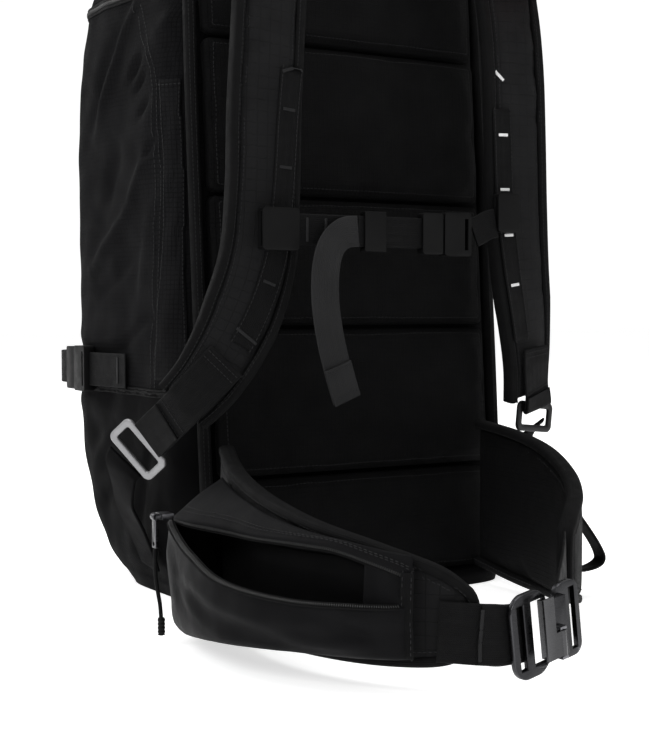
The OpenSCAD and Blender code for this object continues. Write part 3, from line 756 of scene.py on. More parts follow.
# Creases on the bag's side: two ends (y from the back panel, height), width and depth. A negative depth is a
# valley.
CREASES = [((-60, 474), (28, 447), 7, -4.2), ((-60, 455), (20, 436), 9, 2.2), ((-23, 490), (31, 465), 6, -3),
           ((0, 508), (44, 478), 9, 2.4), ((74, 520), (160, 400), 9, 2.6), ((100, 515), (176, 400), 13, -2.4),
           ((66, 463), (92, 440), 6, -2.2), ((61, 447), (80, 430), 5, -1.8), ((56, 424), (74, 408), 5, -1.6),
           ((50, 386), (66, 372), 5, -1.8), ((57, 380), (100, 330), 8, 2), ((88, 334), (175, 280), 9, 2.8),
           ((75, 300), (170, 250), 10, -1.8), ((110, 400), (150, 330), 16, -2.6),
           ((60, 330), (80, 250), 12, 1.6), ((100, 222), (180, 214), 6, 1.6),
           ((60, 240), (140, 205), 7, -1.6), ((90, 160), (190, 150), 12, 1.4),
           ((70, 140), (120, 40), 9, -1.6), ((100, 120), (180, 70), 10, -1.8),
           ((130, 150), (196, 90), 12, 1.8)]
STRAP_Z = 192  # height of the side strap that draws the bag in
SIDE_SEAM = [(71, 506), (56, 472), (42, 440), (38, 384), (38, 343), (42, 294), (49, 253), (56, 216),
             (60, 176)]


def near_line(q, a, b):
    """Distance of each point from the line between a and b, and how far along it is."""
    a, b = np.asarray(a, float), np.asarray(b, float)
    ab = b - a
    t = np.clip(((q - a) @ ab) / (ab @ ab), 0, 1)
    return np.linalg.norm(q - a - t[:, None] * ab, axis=1), t


def soft_noise(points, scale, seed):
    return np.array([noise.noise(Vector((p[0] / scale + seed, p[1] / scale, p[2] / scale))) for p in points])


def bell(distance, width):
    return np.exp(-((distance / width) ** 2))


def crease(q, a, b, width, depth):
    """One crease from a to b that fades out towards its ends."""
    d, t = near_line(q, a, b)
    return depth * bell(d, width) * np.sin(np.pi * np.clip(t, 0.04, 0.96)) ** 0.6


def bag_folds(points):
    """How far the slack fabric stands in or out at each point of the bag."""
    q = np.stack([points[:, 1] - points[:, 2] * LEAN, points[:, 2]], axis=1)
    out = 2.4 * soft_noise(points * [1, 1, 0.45], 52, 3) + 1.7 * soft_noise(points * [1, 1, 0.7], 24, 9)
    moved = sum(crease(q, a, b, 0.8 * width, 2.1 * depth) for a, b, width, depth in CREASES)
    strap = np.abs(q[:, 1] - STRAP_Z)
    under_strap = np.clip((q[:, 0] - 110) / 60, 0, 1)
    moved += (1.4 * bell(strap - 30, 9) - 2.6 * bell(strap, 20)) * under_strap
    for side, weight in ((-1, 1.0), (1, 0.8)):
        out += np.clip((side * points[:, 0] - 130) / 30, 0, 1) * weight * moved
    flat_back = np.clip((q[:, 0] - 18) / 25, 0.0, 1) + np.clip((np.abs(points[:, 0]) - 150) / 12, 0, 0.6)
    ends = np.clip(points[:, 2] / 30, 0, 1)
    return out * np.clip(flat_back, 0, 1) * ends


def shell_rings(heights, count):
    """The bag's outlines with their folds, and the directions that they face."""
    rings = np.array([bag_ring(z, count) for z in heights])
    flat = rings.reshape(-1, 3)
    around = unit(np.roll(rings, -1, axis=1) - np.roll(rings, 1, axis=1)).reshape(-1, 3)
    out = np.stack([around[:, 1], -around[:, 0], np.zeros(len(around))], axis=1)
    moved = flat + out * bag_folds(flat)[:, None]
    return moved.reshape(rings.shape), out.reshape(rings.shape)


def side_seam(side, out=0, gap=0):
    """The seam down one side of the bag, or a line beside it."""
    return [(side * (BODY_W / 2 + out), y + gap + z * LEAN, z) for y, z in curve(SIDE_SEAM, 6)]


def add_bag():
    """The main bag and the coated boot under it."""
    rings, _ = shell_rings(np.linspace(BOOT_Z, SPLIT_Z, 118), 380)
    bag = grid("bag_shell", rings, "ripstop", caps=False, replaces=["main_bag"])
    press(bag, [side_seam(-1), side_seam(1)], 2.4, 3.4)
    heights = np.concatenate([[0, 0.8, 2.4, 5, 8, 11, 13], np.linspace(17, BOOT_Z, 52)])
    rings, _ = shell_rings(heights, 380)
    boot = grid("boot_shell", rings, "boot_fabric", caps=False, replaces=["base_boot"])
    floor_rings = [rings[0] + (rings[0].mean(0) - rings[0]) * f for f in (0, 0.04, 0.5, 0.97)]
    grid("boot_base", floor_rings[::-1], "boot_fabric")
    for piece in (bag, boot):
        thicken(piece, SHELL_T, -1, use_even_offset=False)
    add_bag_seams(bag, boot)
    return bag


def add_bag_seams(bag, boot):
    """The bound seam between bag and boot, and the stitches beside it and beside the side seams."""
    ring, out = shell_rings([BOOT_Z - 3, BOOT_Z, BOOT_Z + 3], 240)
    facing = np.concatenate([out[1], out[1][:1]])
    loop = np.concatenate([ring[1], ring[1][:1]]) + facing * 0.7
    sweep("boot_seam", loop, facing, band_outline(7, 1.2), "binding")
    rows = [ring[k] + out[k] for k in (0, 2)]
    rows += [side_seam(side, 6, gap) for side in (-1, 1) for gap in (-4.5, 4.5)]
    stitches("bag_stitches", rows, [bag, boot])


def dome(name, keep_front, body, replaces):
    """One side of the domed top, cut along the hinge line."""
    heights = [*np.linspace(SPLIT_Z + 0.4, 590, 26), 594, 598, 601.5, 604.5, 607, 609, 610.6, 611.6, 612]
    rings, _ = shell_rings(heights, 300)
    top = rings[-1]
    centre = top.mean(0)
    inner = [centre + (top - centre) * f + [0, 0, 0.25 * (1 - f)] for f in (0.9, 0.75, 0.55, 0.3, 0.05)]
    piece = grid(name, np.concatenate([rings, inner]), "ripstop", body, replaces=replaces)
    cut = (HINGE_Y + (0.9 if keep_front else 0.1)) * MM
    bm = bmesh.new()
    bm.from_mesh(piece.data)
    bmesh.ops.bisect_plane(bm, geom=bm.verts[:] + bm.edges[:] + bm.faces[:], plane_co=(0, cut, 0),
                           plane_no=(0, 1, 0), clear_inner=keep_front, clear_outer=not keep_front)
    bm.to_mesh(piece.data)
    bm.free()
    thicken(piece, SHELL_T, -1)
    return piece


def add_top():
    """The airbag's cover, the lid and the burst zip between them and the handle."""
    dome("cover_shell", False, "pack", ["airbag_cover"])
    lid = dome("lid_shell", True, "lid", ["lid"])
    add_lid_hinge()
    path = np.array([(x, 113, PACK_H + 1) for x in np.linspace(-78, 78, 40)])
    zip_line("burst_zip_tape", path, np.tile([0, 0, 1.0], (len(path), 1)), tape=7, replaces=["burst_zip"])
    add_lid_zip()
    stitches("lid_stitches", [[(x, HINGE_Y + 12.6, PACK_H + 1) for x in (-66, 66)]], [lid], body="lid")


def add_lid_hinge():
    """The tape over the lid's hinge line."""
    y = HINGE_Y + 0.6
    across = ((-9, 0.2), (-4, 0.6), (0, 0.8), (4, 0.6), (9, 0.2))
    strip = np.array([[(x, y + d, PACK_H + 1.2 + lift) for x in np.linspace(-70, 70, 29)]
                      for d, lift in across])
    under = strip[::-1] - [0, 0, 1.0]
    hinge = grid("lid_hinge_tape", np.concatenate([strip, under]).transpose(1, 0, 2), "binding")
    hinge.parent = None
    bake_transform(hinge)


def add_lid_zip():
    """The zip round the front of the bag under the lid."""
    (ring,), (out,) = shell_rings([SPLIT_Z - 7], 300)
    front = ring[:, 1] > ZIP_START_Y
    ring, out = ring[front], out[front]
    order = np.argsort(np.arctan2(ring[:, 0], ring[:, 1] - ZIP_START_Y))
    zip_line("lid_zip_tape", ring[order] + out[order] * 1.3, out[order], tape=9, replaces=["lid_zip"])


def add_airbag_bundle():
    """The airbag, folded to and fro in flat layers in two stacks, a little clear of its CAD solid's sides."""
    low, high = (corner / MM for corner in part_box("airbag_folded"))
    width = high.x - low.x - 16
    y_ends = (low.y + 6, high.y - 16)
    z0, z1 = low.z + 3, high.z
    layers, route = 7, []
    for k in range(layers):
        z = z0 + (z1 - z0 - 22) * k / (layers - 1)
        a, b = y_ends if k % 2 == 0 else y_ends[::-1]
        route += [(0, a + (b - a) * f, z + 1.2 * math.sin(3 * f + k)) for f in (0.04, 0.35, 0.65, 0.96)]
    path = curve(route, 4)
    for side, word in ((-1, "left"), (1, "right")):
        rows = []
        for _, y, z in path:
            reach = 0.34 * width - 0.4 * abs(z - z0)
            rows.append([(side * (4 + reach * f), y, z + 1.1 * math.sin(9 * f + y / 9))
                         for f in np.linspace(0, 1, 24)])
        piece = grid("airbag_folds_" + word, rows, "airbag_nylon", wrap=False, replaces=["airbag_folded"])
        thicken(piece, 0.9)


# ---- Back panel ----------------------------------------------------------------------------------

PAD_SEAMS = [14, 107, 232, 342, 473, 548]
PAD_NAMES = ["lumbar", "lower", "middle", "upper", "top"]
PAD_W = 274


def leaned(points):
    """Points square to the back panel, turned with it."""
    p = np.asarray(points, float)
    c, s = math.cos(math.atan(LEAN)), math.sin(math.atan(LEAN))
    return np.stack([p[..., 0], p[..., 1] * c + p[..., 2] * s, p[..., 2] * c - p[..., 1] * s], axis=-1)


def rounded_rect(w, h, r, per_corner=6):
    """Outline of a rectangle with rounded corners."""
    out = []
    for i, (x, y) in enumerate(((1, 1), (-1, 1), (-1, -1), (1, -1))):
        for k in range(per_corner + 1):
            a = math.radians(90 * i + 90 * k / per_corner)
            out.append((x * (w / 2 - r) + r * math.cos(a), y * (h / 2 - r) + r * math.sin(a)))
    return np.array(out)


def hold_back_pad(moved):
    """Keeps a pad's swelling off its neighbours and off the frame sheet."""
    return np.clip(moved, [-1.5, -4.5, -0.6], [1.5, 0.3, 0.6])


def add_back_pads():
    """Five foam pads with a sewn channel round each."""
    edges = []
    for name, bottom, top in zip(PAD_NAMES, PAD_SEAMS, PAD_SEAMS[1:]):
        height, middle = top - bottom - 2, (bottom + top) / 2
        outline = rounded_rect(PAD_W, height, 5)
        rings = [[(x * k, y, middle + z * k) for x, z in outline]
                 for y, k in ((16.6, 0.99), (14.5, 1), (7.0, 1), (4.9, 0.992), (4.2, 0.97))]
        pad = grid("back_pad_" + name + "_foam", leaned(rings)[:, ::-1], "back_foam",
                   replaces=["back_pad_" + name])
        puff(pad, 6.0, voxel=3.6, limit=hold_back_pad)
        weave_by(pad, lambda p: p[:, [0, 2]])
        edge = leaned([(x, 4, middle + z) for x, z in rounded_rect(PAD_W - 13, height - 9, 4)])
        edge = np.concatenate([edge, edge[:1]])
        press(pad, [edge], 1.8, 0.8)
        edges.append((name, pad, edge + leaned([0, -4, 0])))
    for name, pad, line in edges:
        stitches("back_pad_" + name + "_stitches", [line], [pad])
    add_panel_border()


def add_panel_border():
    """The bound edge that frames the back panel."""
    route = [(-145.5, 12, 12), (-145.5, 12, 90), (-146, 12, 200), (-146, 12, 330), (-145.5, 12, 450),
             (-143, 12, 530), (-132, 13, 557), (-108, 15, 566)]
    outline = squared_oval(5.4, 5.6, 0.7, 1, 16)

    def build(side, points, facing):
        path = leaned(curve(points, 10))
        turned = curve(facing, 10)
        border = sweep("panel_border_" + side, path, turned, outline, "binding", replaces=["panel_binding"])
        across = 1 if side == "left" else -1
        _, ways, up = frames(path, turned)
        lines = [path + up * 6 + ways * (d * across) for d in (-2.4, 1.6)]
        stitches("panel_border_stitches_" + side, lines, [border])

    both_sides(build, route, [(-0.25, -1, 0)] * len(route))


# ---- Shoulder straps -----------------------------------------------------------------------------

STRAP_LEFT = [(-78, 54, 562), (-84, 28, 582), (-92, 2, 574), (-99, -12, 546), (-105, -17, 505),
              (-110, -21, 455), (-114, -23, 400), (-116, -24, 340), (-122, -27, 285), (-139, -27, 235),
              (-160, -21, 195), (-177, -6, 170)]
STRAP_FACES = [(0, 0.6, 0.8), (0, 0, 1), (0, -0.8, 0.6), (0, -1, 0.2), (0, -1, 0.1), (0, -1, 0), (0, -1, 0),
               (0, -1, 0), (-0.1, -1, 0), (-0.25, -1, 0), (-0.45, -0.9, 0), (-0.6, -0.8, 0)]
STRAP_RIGHT = [(84, 54, 562), (94, 28, 582), (110, 2, 574), (123, -12, 546), (130, -17, 505), (133, -21, 455),
               (134, -23, 400), (135, -24, 340), (137, -27, 285), (143, -27, 235), (148, -24, 198),
               (152, -17, 168)]
STRAP_FACES_RIGHT = mirrored(STRAP_FACES[:9]) + [(0.2, -1, 0), (0.25, -1, 0), (0.25, -1, 0)]
STRAP_W, STRAP_T = 62, 13
# Crosswise folds in a strap's face: share of its length and depth.
STRAP_FOLDS = [(0.20, 1.1), (0.235, -1.2), (0.27, 0.9), (0.31, -1.1), (0.345, 1.2), (0.39, -1.3), (0.43, 0.8),
               (0.475, -0.9), (0.74, 0.7), (0.79, -0.8)]


def strap_line(route, faces):
    """A strap's path, its directions and its narrowing along the way."""
    path, turned = curve(route, STEPS), curve(faces, STEPS)
    _, ways, up = frames(path, turned)
    s = arc(path)
    narrowing = np.interp(s / s[-1], [0, 0.03, 0.82, 1], [0.9, 0.95, 1, 0.76])
    return SimpleNamespace(path=path, turned=turned, ways=ways, up=up, length=s[-1], narrowing=narrowing)


def add_shoulder_strap(side, line, rail_across):
    """A padded strap with folds beside its rail, and both its bound edges."""
    outline = squared_oval((STRAP_W - 5) / 2, (STRAP_T - 4) / 2, 0.32, 0.6, 28)
    strap = sweep("shoulder_strap_" + side + "_foam", line.path, line.turned, outline, "strap_foam",
                  replaces=["shoulder_strap_" + side], scale=line.narrowing)
    puff(strap, 2.4, voxel=4.0)
    weave_by(strap, along_path(line.path, line.turned))
    fold_strap(strap, line, rail_across)
    outline = squared_oval(4.6, STRAP_T / 2 - 0.2, 0.6, 0.7, 18)
    for edge, word in ((-1, "out"), (1, "in")):
        centre = line.path + line.ways * (edge * (STRAP_W / 2 - 3.4) * line.narrowing)[:, None]
        bound = sweep("strap_edge_%s_%s" % (side, word), centre, line.turned, outline, "binding")
        face = line.path + line.up * (STRAP_T / 2 + 1)
        rows = [face + line.ways * (edge * (STRAP_W / 2 - off) * line.narrowing)[:, None]
                for off in (6.0, 9.4)]
        stitches("strap_stitches_%s_%s" % (side, word), rows, [bound, strap])
    return strap


def fold_strap(strap, line, rail_across):
    """Folds the strap's face on the side of the rail that has more room."""
    rail_side = 1 if rail_across > 0 else -1
    co = coords(strap)
    across, along = along_path(line.path, line.turned)(co).T
    share = along / line.length
    slanted = share + 0.0006 * across * rail_side
    folded = sum(deep * bell(slanted - centre, 0.011) for centre, deep in STRAP_FOLDS)
    away = np.clip((rail_across - rail_side * 12 - across) * rail_side / 8, 0, 1)
    out = normals(strap)
    front = np.clip(-out[:, 1] * 1.5 - 0.3, 0, 1)
    set_coords(strap, co + out * (folded * away * front + 0.35 * soft_noise(co, 16, 4))[:, None])


def on_strap(line, share, across, proud=0.0):
    """A point on a strap's face, by how far along it is and how far to the side."""
    last = len(line.path) - 1
    at = min(last, max(0, share * last))
    low = int(at)
    high = min(low + 1, last)
    path, ways, up = (q[low] + (q[high] - q[low]) * (at - low) for q in (line.path, line.ways, line.up))
    return path + ways * across + up * (STRAP_T / 2 + proud)


def add_rail(side, line, strap, start, top_across, low_across, tacks, look):
    """The ladder of webbing that the sternum slider runs on, held by bartacks (place, half width, slant)."""
    share = np.linspace(start, 9.33, 48) / 11
    f = (share - share[0]) / (share[-1] - share[0])
    across = top_across + f * (low_across - top_across)
    path = np.array([on_strap(line, s, x, 1.3) for s, x in zip(share, across)])
    turned = line.turned[np.rint(share * (len(line.turned) - 1)).astype(int)]
    rail = sweep("strap_rail_" + side, path, turned, band_outline(19, 1.6, 0.15), "webbing",
                 replaces=["strap_rails"])
    _, ways, up = frames(path, turned)
    bars = []
    for at, half, slant in tacks:
        i = int(at * (len(path) - 1))
        reach = ways[i] * half - [0, 0, slant]
        bars.append((path[i] - reach + up[i], path[i] + reach + up[i]))
    bartacks("rail_bartacks_" + side, bars, [rail, strap], look)
    stitches("rail_stitches_" + side, [path + up * 0.9 + ways * d for d in (-8.2, 8.2)], [rail])


def add_straps():
    """Both shoulder straps with their rails, and the white bars beside the right one's rail."""
    left_line = strap_line(STRAP_LEFT, STRAP_FACES)
    right_line = strap_line(STRAP_RIGHT, STRAP_FACES_RIGHT)
    left = add_shoulder_strap("left", left_line, 14)
    right = add_shoulder_strap("right", right_line, -17)
    add_rail("left", left_line, left, 5.35, 19, 8,
             [(0.02, 9, -4), (0.16, 5, 0), (0.36, 5, 0), (0.76, 5, 0), (0.97, 9, 2)], "thread_dark")
    add_rail("right", right_line, right, 5.67, -20, -15,
             [(0.116, 4.5, 0), (0.332, 4.5, 0), (0.528, 4.5, 0), (0.726, 4.5, 0)], "thread_white")
    bars = [(on_strap(right_line, share, across - half, 1.2) + [0, 0, slant],
             on_strap(right_line, share, across + half, 1.2) - [0, 0, slant])
            for share, across, half, slant in ((0.466, -21, 4.5, 4), (0.828, -15, 5, 4))]
    bartacks("strap_bartacks_right", bars, [right], "thread_white")


# ---- Strap webbing, rings and lifters ------------------------------------------------------------

LOWER_LEFT = [(-154, -36.5, 206), (-168, -29.5, 190), (-183, -15, 169), (-189, 7, 153.5),
              (-191.6, 27.8, 141.8)]
LOWER_LEFT_FACES = [(-0.4, -0.9, 0.1), (-0.5, -0.85, 0.1), (-0.65, -0.75, 0.1), (-0.74, -0.66, 0),
                    (-0.76, -0.6, -0.2)]
LOWER_RIGHT = [(149, -37, 212), (151, -34.5, 196), (154, -31, 180), (157.5, -27.5, 167), (159.5, -25.4, 158)]
LOWER_RIGHT_FACES = [(0.2, -1, 0.1), (0.2, -1, 0.1), (0.2, -1, 0.2), (0.15, -1, 0.2), (0.1, -1, 0.2)]
ANCHOR_LEFT = [(-203.4, 50.2, 122.4), (-204, 60, 113), (-193, 80, 86), (-177, 88, 56), (-164.6, 92, 26)]
ANCHOR_LEFT_FACES = [(-0.76, -0.6, -0.2), (-0.9, -0.45, -0.1), (-1, -0.2, 0.1), (-1, -0.1, 0), (-1, 0, -0.3)]
ANCHOR_RIGHT = [(161.5, -14, 138), (168, -4, 128), (186, 24, 112), (196, 52, 98), (190, 78, 78),
                (176.5, 88, 52), (164.6, 92, 26)]
ANCHOR_RIGHT_FACES = [(0.2, -1, -0.4), (0.5, -0.8, -0.4), (0.85, -0.5, -0.1), (1, -0.2, 0), (1, -0.1, 0),
                      (1, -0.1, 0), (1, 0, -0.3)]
LIFTER = [(-92, -2, 585), (-94, 22, 597), (-92, 50, 602), (-88, 77, 598)]


def add_strap_webbing():
    """The webbing from each strap through its ring, the anchors to the bag's corners and the load lifters."""
    def build(side, route, faces):
        band = webbing("strap_webbing_" + side, route, faces, 34, replaces=["strap_webbing"])
        path, turned = curve(route, STEPS), curve(faces, STEPS)
        _, ways, up = frames(path, turned)
        rows = [[path[k] - ways[k] * 14 + up[k], path[k] + ways[k] * 14 + up[k]] for k in (2, 4, 19, 21)]
        stitches("strap_webbing_stitches_" + side, rows, [band], pitch=3.0)
        ring_side = path[-1] + (path[-1] - path[-4]) * 0.55
        loop_route = [path[-9] - up[-9] * 2.6, path[-3] - up[-3] * 2.9, ring_side, path[-3] + up[-3] * 2.2,
                      path[-12] + up[-12] * 2.2]
        loop_faces = [-up[-9], -up[-3], path[-1] - path[-6], up[-3], up[-12]]
        webbing("strap_webbing_loop_" + side, loop_route, loop_faces, 33, ripple=0, t=1.6)

    def anchor(side, route, faces):
        webbing("strap_anchor_" + side, route, faces, 35, "boot_fabric", t=2.4, replaces=["strap_anchors"],
                ripple=1.0)

    def lifter(side, route, faces):
        webbing("load_lifter_" + side, route, faces, 20, replaces=["load_lifters"])

    build("left", LOWER_LEFT, LOWER_LEFT_FACES)
    build("right", LOWER_RIGHT, LOWER_RIGHT_FACES)
    anchor("left", ANCHOR_LEFT, ANCHOR_LEFT_FACES)
    anchor("right", ANCHOR_RIGHT, ANCHOR_RIGHT_FACES)
    both_sides(lifter, LIFTER, [(0, 0.1, 1)] * 4)


def add_handle():
    route = [(x, 96, z) for x, z in ((-54, 610.8), (-48, 626), (-28, 640), (0, 645), (28, 640), (48, 626),
                                     (54, 610.8))]
    faces = [(-1, 0, 0.4), (-1, 0, 1), (-0.3, 0, 1), (0, 0, 1), (0.3, 0, 1), (1, 0, 1), (1, 0, 0.4)]
    handle = webbing("grab_handle_loop", route, faces, 20, t=4.6, replaces=["grab_handle"], ripple=0.1)
    face = curve(route, STEPS) + unit(curve(faces, STEPS)) * 2.6
    stitches("grab_handle_stitches", [face + [0, d, 0] for d in (-7, 7)], [handle])


def add_cables():
    """The trigger's cable and the battery's lead."""
    tube("trigger_cable_sheath", [(129, -24, 584), (129, -22, 593), (127, -10, 604), (122, 12, 611),
                                  (115, 40, 610), (108, 72, 599)], 6, "cable_sheath", ["trigger_cable"])
    tube("power_lead_sheath", [(-95, 86, 378.4), (-90, 88, 366), (-60, 92, 360), (0, 96, 362), (60, 94, 366),
                               (90, 86, 380), (96, 83, 401.4)], 5, "cable_sheath", replaces=["power_lead"])


# ---- Sternum strap -------------------------------------------------------------------------------

STERNUM_Y, STERNUM_Z, STERNUM_W = -45.6, 308, 25
FORWARD = (0, -1, 0)


def sternum_band(name, route, look="webbing", body="sternum_left", replaces=(), ripple=0):
    """A stretch of sternum webbing, by places measured from the strap's middle."""
    placed = np.add(route, [0, STERNUM_Y, STERNUM_Z])
    faces = [FORWARD] * len(placed)
    return webbing(name, placed, faces, STERNUM_W, look, body, replaces=replaces, ripple=ripple), placed


def add_sternum():
    """The sternum strap: a doubled band on the left, its hanging tail and the short band on the right."""
    back, _ = sternum_band("sternum_band", [(x, 1, 0) for x in (-104, -60, -20, 20, 38)],
                           replaces=["sternum_webbing_left"])
    front, _ = sternum_band("sternum_band_front", [(x, -1, 0) for x in (38, 10, -20, -42)])
    tail, route = sternum_band("sternum_tail", [(-42, -1, 0), (-56, -3, -2), (-70, -8, -12), (-78, -12, -30),
                                                (-79, -13, -56), (-74, -12, -84), (-66, -10, -110),
                                                (-57, -8, -134)], "webbing_pale", ripple=0.25)
    path = curve(route, STEPS)
    hem = [path[-10] + [0, -2, 0], path[-5] + [0, -2.1, 0], path[-1] + [0.4, -2, -1]]
    fold = webbing("sternum_tail_fold", hem, [FORWARD] * 3, STERNUM_W, "webbing_pale", body="sternum_left",
                   ripple=0)
    _, ways, up = frames(path, np.tile(FORWARD, (len(path), 1)))
    rows = [[path[k] + ways[k] * d + up[k] * 3 for d in (10, -10)] for k in (-9, -3)]
    stitches("sternum_tail_stitches", rows, [tail, fold], body="sternum_left", pitch=2.4, length=1.9)
    bars = [[(x, STERNUM_Y, STERNUM_Z + d) for d in (-9, 9)] for x in (-88, -71)]
    bartacks("sternum_bartacks", bars, [back, front], body="sternum_left")
    sternum_band("sternum_band_right", [(73, 0, 1.8), (78, 0.4, 4), (89, 1, 9), (97, 1, 11)],
                 body="sternum_right", replaces=["sternum_webbing_right"])


# ---- Side straps ---------------------------------------------------------------------------------


def add_side_straps():
    """The strap round each side of the bag: a short rear band with its bartack, and the front band."""
    z, x = STRAP_Z, -184.5
    rear = [(-174, 122, z), (-177, 140, z), (-181, 160, z), (-184, 183.6, z)]
    front = [(x, 214, z), (x, 236, z), (x, 256, z), (-178, 269, z), (-158, 274, z), (-120, 270, z)]
    front_faces = [(-1, 0, 0), (-1, 0, 0), (-1, 0.1, 0), (-0.7, 0.7, 0), (0, 1, 0), (0.1, 1, 0)]

    def build_rear(side, route, faces):
        band = webbing("side_band_rear_" + side, route, faces, 30, replaces=["side_webbing"], ripple=0)
        at = -178.5 if side == "left" else 178.5
        bartacks("side_bartacks_" + side, [[(at, 134, z + d) for d in (-11, 11)]], [band])

    def build_front(side, route, faces):
        webbing("side_band_front_" + side, route, faces, 30, replaces=["side_webbing"], ripple=0)

    both_sides(build_rear, rear, [(-1, 0, 0)] * 4)
    both_sides(build_front, front, front_faces)


# ---- Hip belt ------------------------------------------------------------------------------------

WING_T = 12
WING_LEFT = [(-136, 1, 24, 136), (-152, -40, 20, 131), (-167, -90, 16, 124), (-172, -140, 14, 115),
             (-163, -190, 14, 104), (-140, -233, 14, 93), (-112, -262, 16, 80), (-96, -274, 24, 66)]
WING_RIGHT = [(116, 1, 16, 146), (117, -50, 9, 140), (113, -95, 7, 131), (99, -138, 10, 118),
              (78, -172, 18, 106), (52, -198, 28, 96), (36, -211, 40, 86)]


def wing_line(stations):
    """A wing's plan, heading and outward direction, and its lower and upper edge along the way."""
    path = curve(stations, STEPS)
    flat = path[:, :3] * [1, 1, 0]
    heading = unit(np.gradient(flat, axis=0))
    out = np.stack([-heading[:, 1], heading[:, 0], np.zeros(len(heading))], axis=1)
    return SimpleNamespace(flat=flat, heading=heading, out=out, low=path[:, 2], high=path[:, 3])


def both_edges(line, inset):
    """Along a wing's upper edge and back along its lower edge, so far inside them."""
    return (np.column_stack([line.flat[:, :2], line.high - inset]),
            np.column_stack([line.flat[::-1, :2], line.low[::-1] + inset]))


def add_wing(side, stations, darts, look):
    """A padded wing of the hip belt, with darts pressed into it at the given places along it."""
    line = wing_line(stations)
    shape = rounded_rect(1, 1, 0.12, 4)
    rings = [[(*(p + q[0] * (WING_T - 4) * o)[:2], low + 3 + (q[1] + 0.5) * (high - low - 6)) for q in shape]
             for p, o, low, high in zip(line.flat, line.out, line.low, line.high)]
    wing = grid("hip_wing_" + side + "_foam", np.array(rings)[:, ::-1], look, replaces=["hip_wing_" + side])
    puff(wing, 2.2, voxel=4.5)
    s = arc(line.flat)

    def place(points):
        near = np.argmin(((points[:, None, :2] - line.flat[None, :, :2]) ** 2).sum(2), axis=1)
        past = ((points - line.flat[near]) * line.heading[near]).sum(1)
        return np.stack([s[near] + past, points[:, 2]], axis=1)

    weave_by(wing, place)
    if darts:
        press(wing, [[line.flat[k] + line.out[k] * 5 + [0, 0, z] for z in (line.low[k] + 8, line.high[k] - 8)]
                     for k in darts], 3.2, 2.4)
    bound = add_wing_rim(side, line)
    inset = np.concatenate(both_edges(line, 9.5))
    both = [inset + np.concatenate([line.out, line.out[::-1]]) * d for d in (-WING_T, WING_T)]
    stitches("hip_wing_stitches_" + side, both, [wing, bound])


def add_wing_rim(side, line):
    """The binding along a wing's upper edge, round its tip and back."""
    upper, lower = both_edges(line, 3.4)
    height = line.high[-1] - line.low[-1]
    tip = [line.flat[-1] + line.heading[-1] * d + [0, 0, line.low[-1] + height * share]
           for d, share in ((2.2, 0.78), (3.4, 0.5), (2.2, 0.22))]
    rim = resample(np.concatenate([upper, tip, lower]), 200)
    across = np.array([line.out[np.argmin(((line.flat[:, :2] - p[:2]) ** 2).sum(1))] for p in rim])
    facing = np.cross(unit(np.gradient(rim, axis=0)), across)
    outline = squared_oval(WING_T / 2 + 0.5, 4.0, 0.6, 0.8, 16)
    return sweep("hip_wing_edge_" + side, rim, facing, outline, "binding")


# Stations of the hip pocket: plan place on the wing, bulge, height of the lower lip, how far the panel over
# the mouth reaches out, the height where it meets the wing and the height of the pocket's bottom
POCKET_LINE = [(-167, -58, 42.5, 90, 42, 119, 7), (-174, -88, 43.5, 82, 33, 114, 8),
               (-179, -125, 44, 73, 15, 109, 14), (-178, -160, 42, 62, 10, 103, 19),
               (-167, -200, 33, 57, 7, 97, 22), (-150, -233, 20, 56, 5, 92, 22),
               (-130, -259, 10, 56, 4, 88, 22)]
# Folds in the pocket's wall: two ends (run along the pocket, height), width and depth.
POCKET_FOLDS = [((50, 52), (180, 15), 7, -3), ((66, 58), (190, 24), 6, 2.4), ((135, 22), (190, 12), 5, -3.2),
                ((10, 78), (45, 30), 8, 1.6), ((25, 80), (62, 34), 7, -1.9), ((120, 46), (178, 42), 5, 1.9),
                ((4, 60), (22, 14), 7, -1.6), ((85, 20), (150, 9), 6, 2.0), ((160, 50), (200, 30), 5, -2.6),
                ((20, 66), (100, 26), 5, 1.6), ((150, 30), (205, 34), 5, 2.2)]
LAST_STATION, STATION_STEP = 6, 36.0
MOUTH_END, GUSSET_START, BINDING_AT = 5.7, 5.05, 5.88
PANEL_LIP, MOUTH_Z = 92.3, 84


def pocket_at(s):
    """The pocket at a station: its place on the wing, the way outwards, the run along it and its measures."""
    p = curve(POCKET_LINE, 20)
    at = np.clip(s * 20, 0, len(p) - 1)
    low = int(min(at, len(p) - 2))
    x, y, bulge, lip, reach, top, bottom = p[low] + (p[low + 1] - p[low]) * (at - low)
    heading = unit(p[low + 1, :2] - p[low, :2])
    run = s * STATION_STEP
    swell = (1 - max(0, 1 - run / 16) ** 2.6) ** 0.5 if run < 16 else 1.0
    bulge *= swell * (1 - 0.7 * np.clip((s - 5.4) / 0.6, 0, 1) ** 2)
    reach = min(reach * swell, max(2.0, bulge - 0.8))
    panel_lip = PANEL_LIP - 17 * np.clip((s - 4.3) / 1.7, 0, 1) ** 1.5
    out = np.array([heading[1], -heading[0], 0])
    return SimpleNamespace(flat=np.array([x, y, 0]), out=out, run=run, bulge=bulge, lip=lip, reach=reach,
                           top=top, bottom=bottom, panel_lip=panel_lip)


def outward(at, distance, height):
    """A point of the pocket so far from the wing's middle at a height."""
    return at.flat + at.out * distance + [0, 0, height]


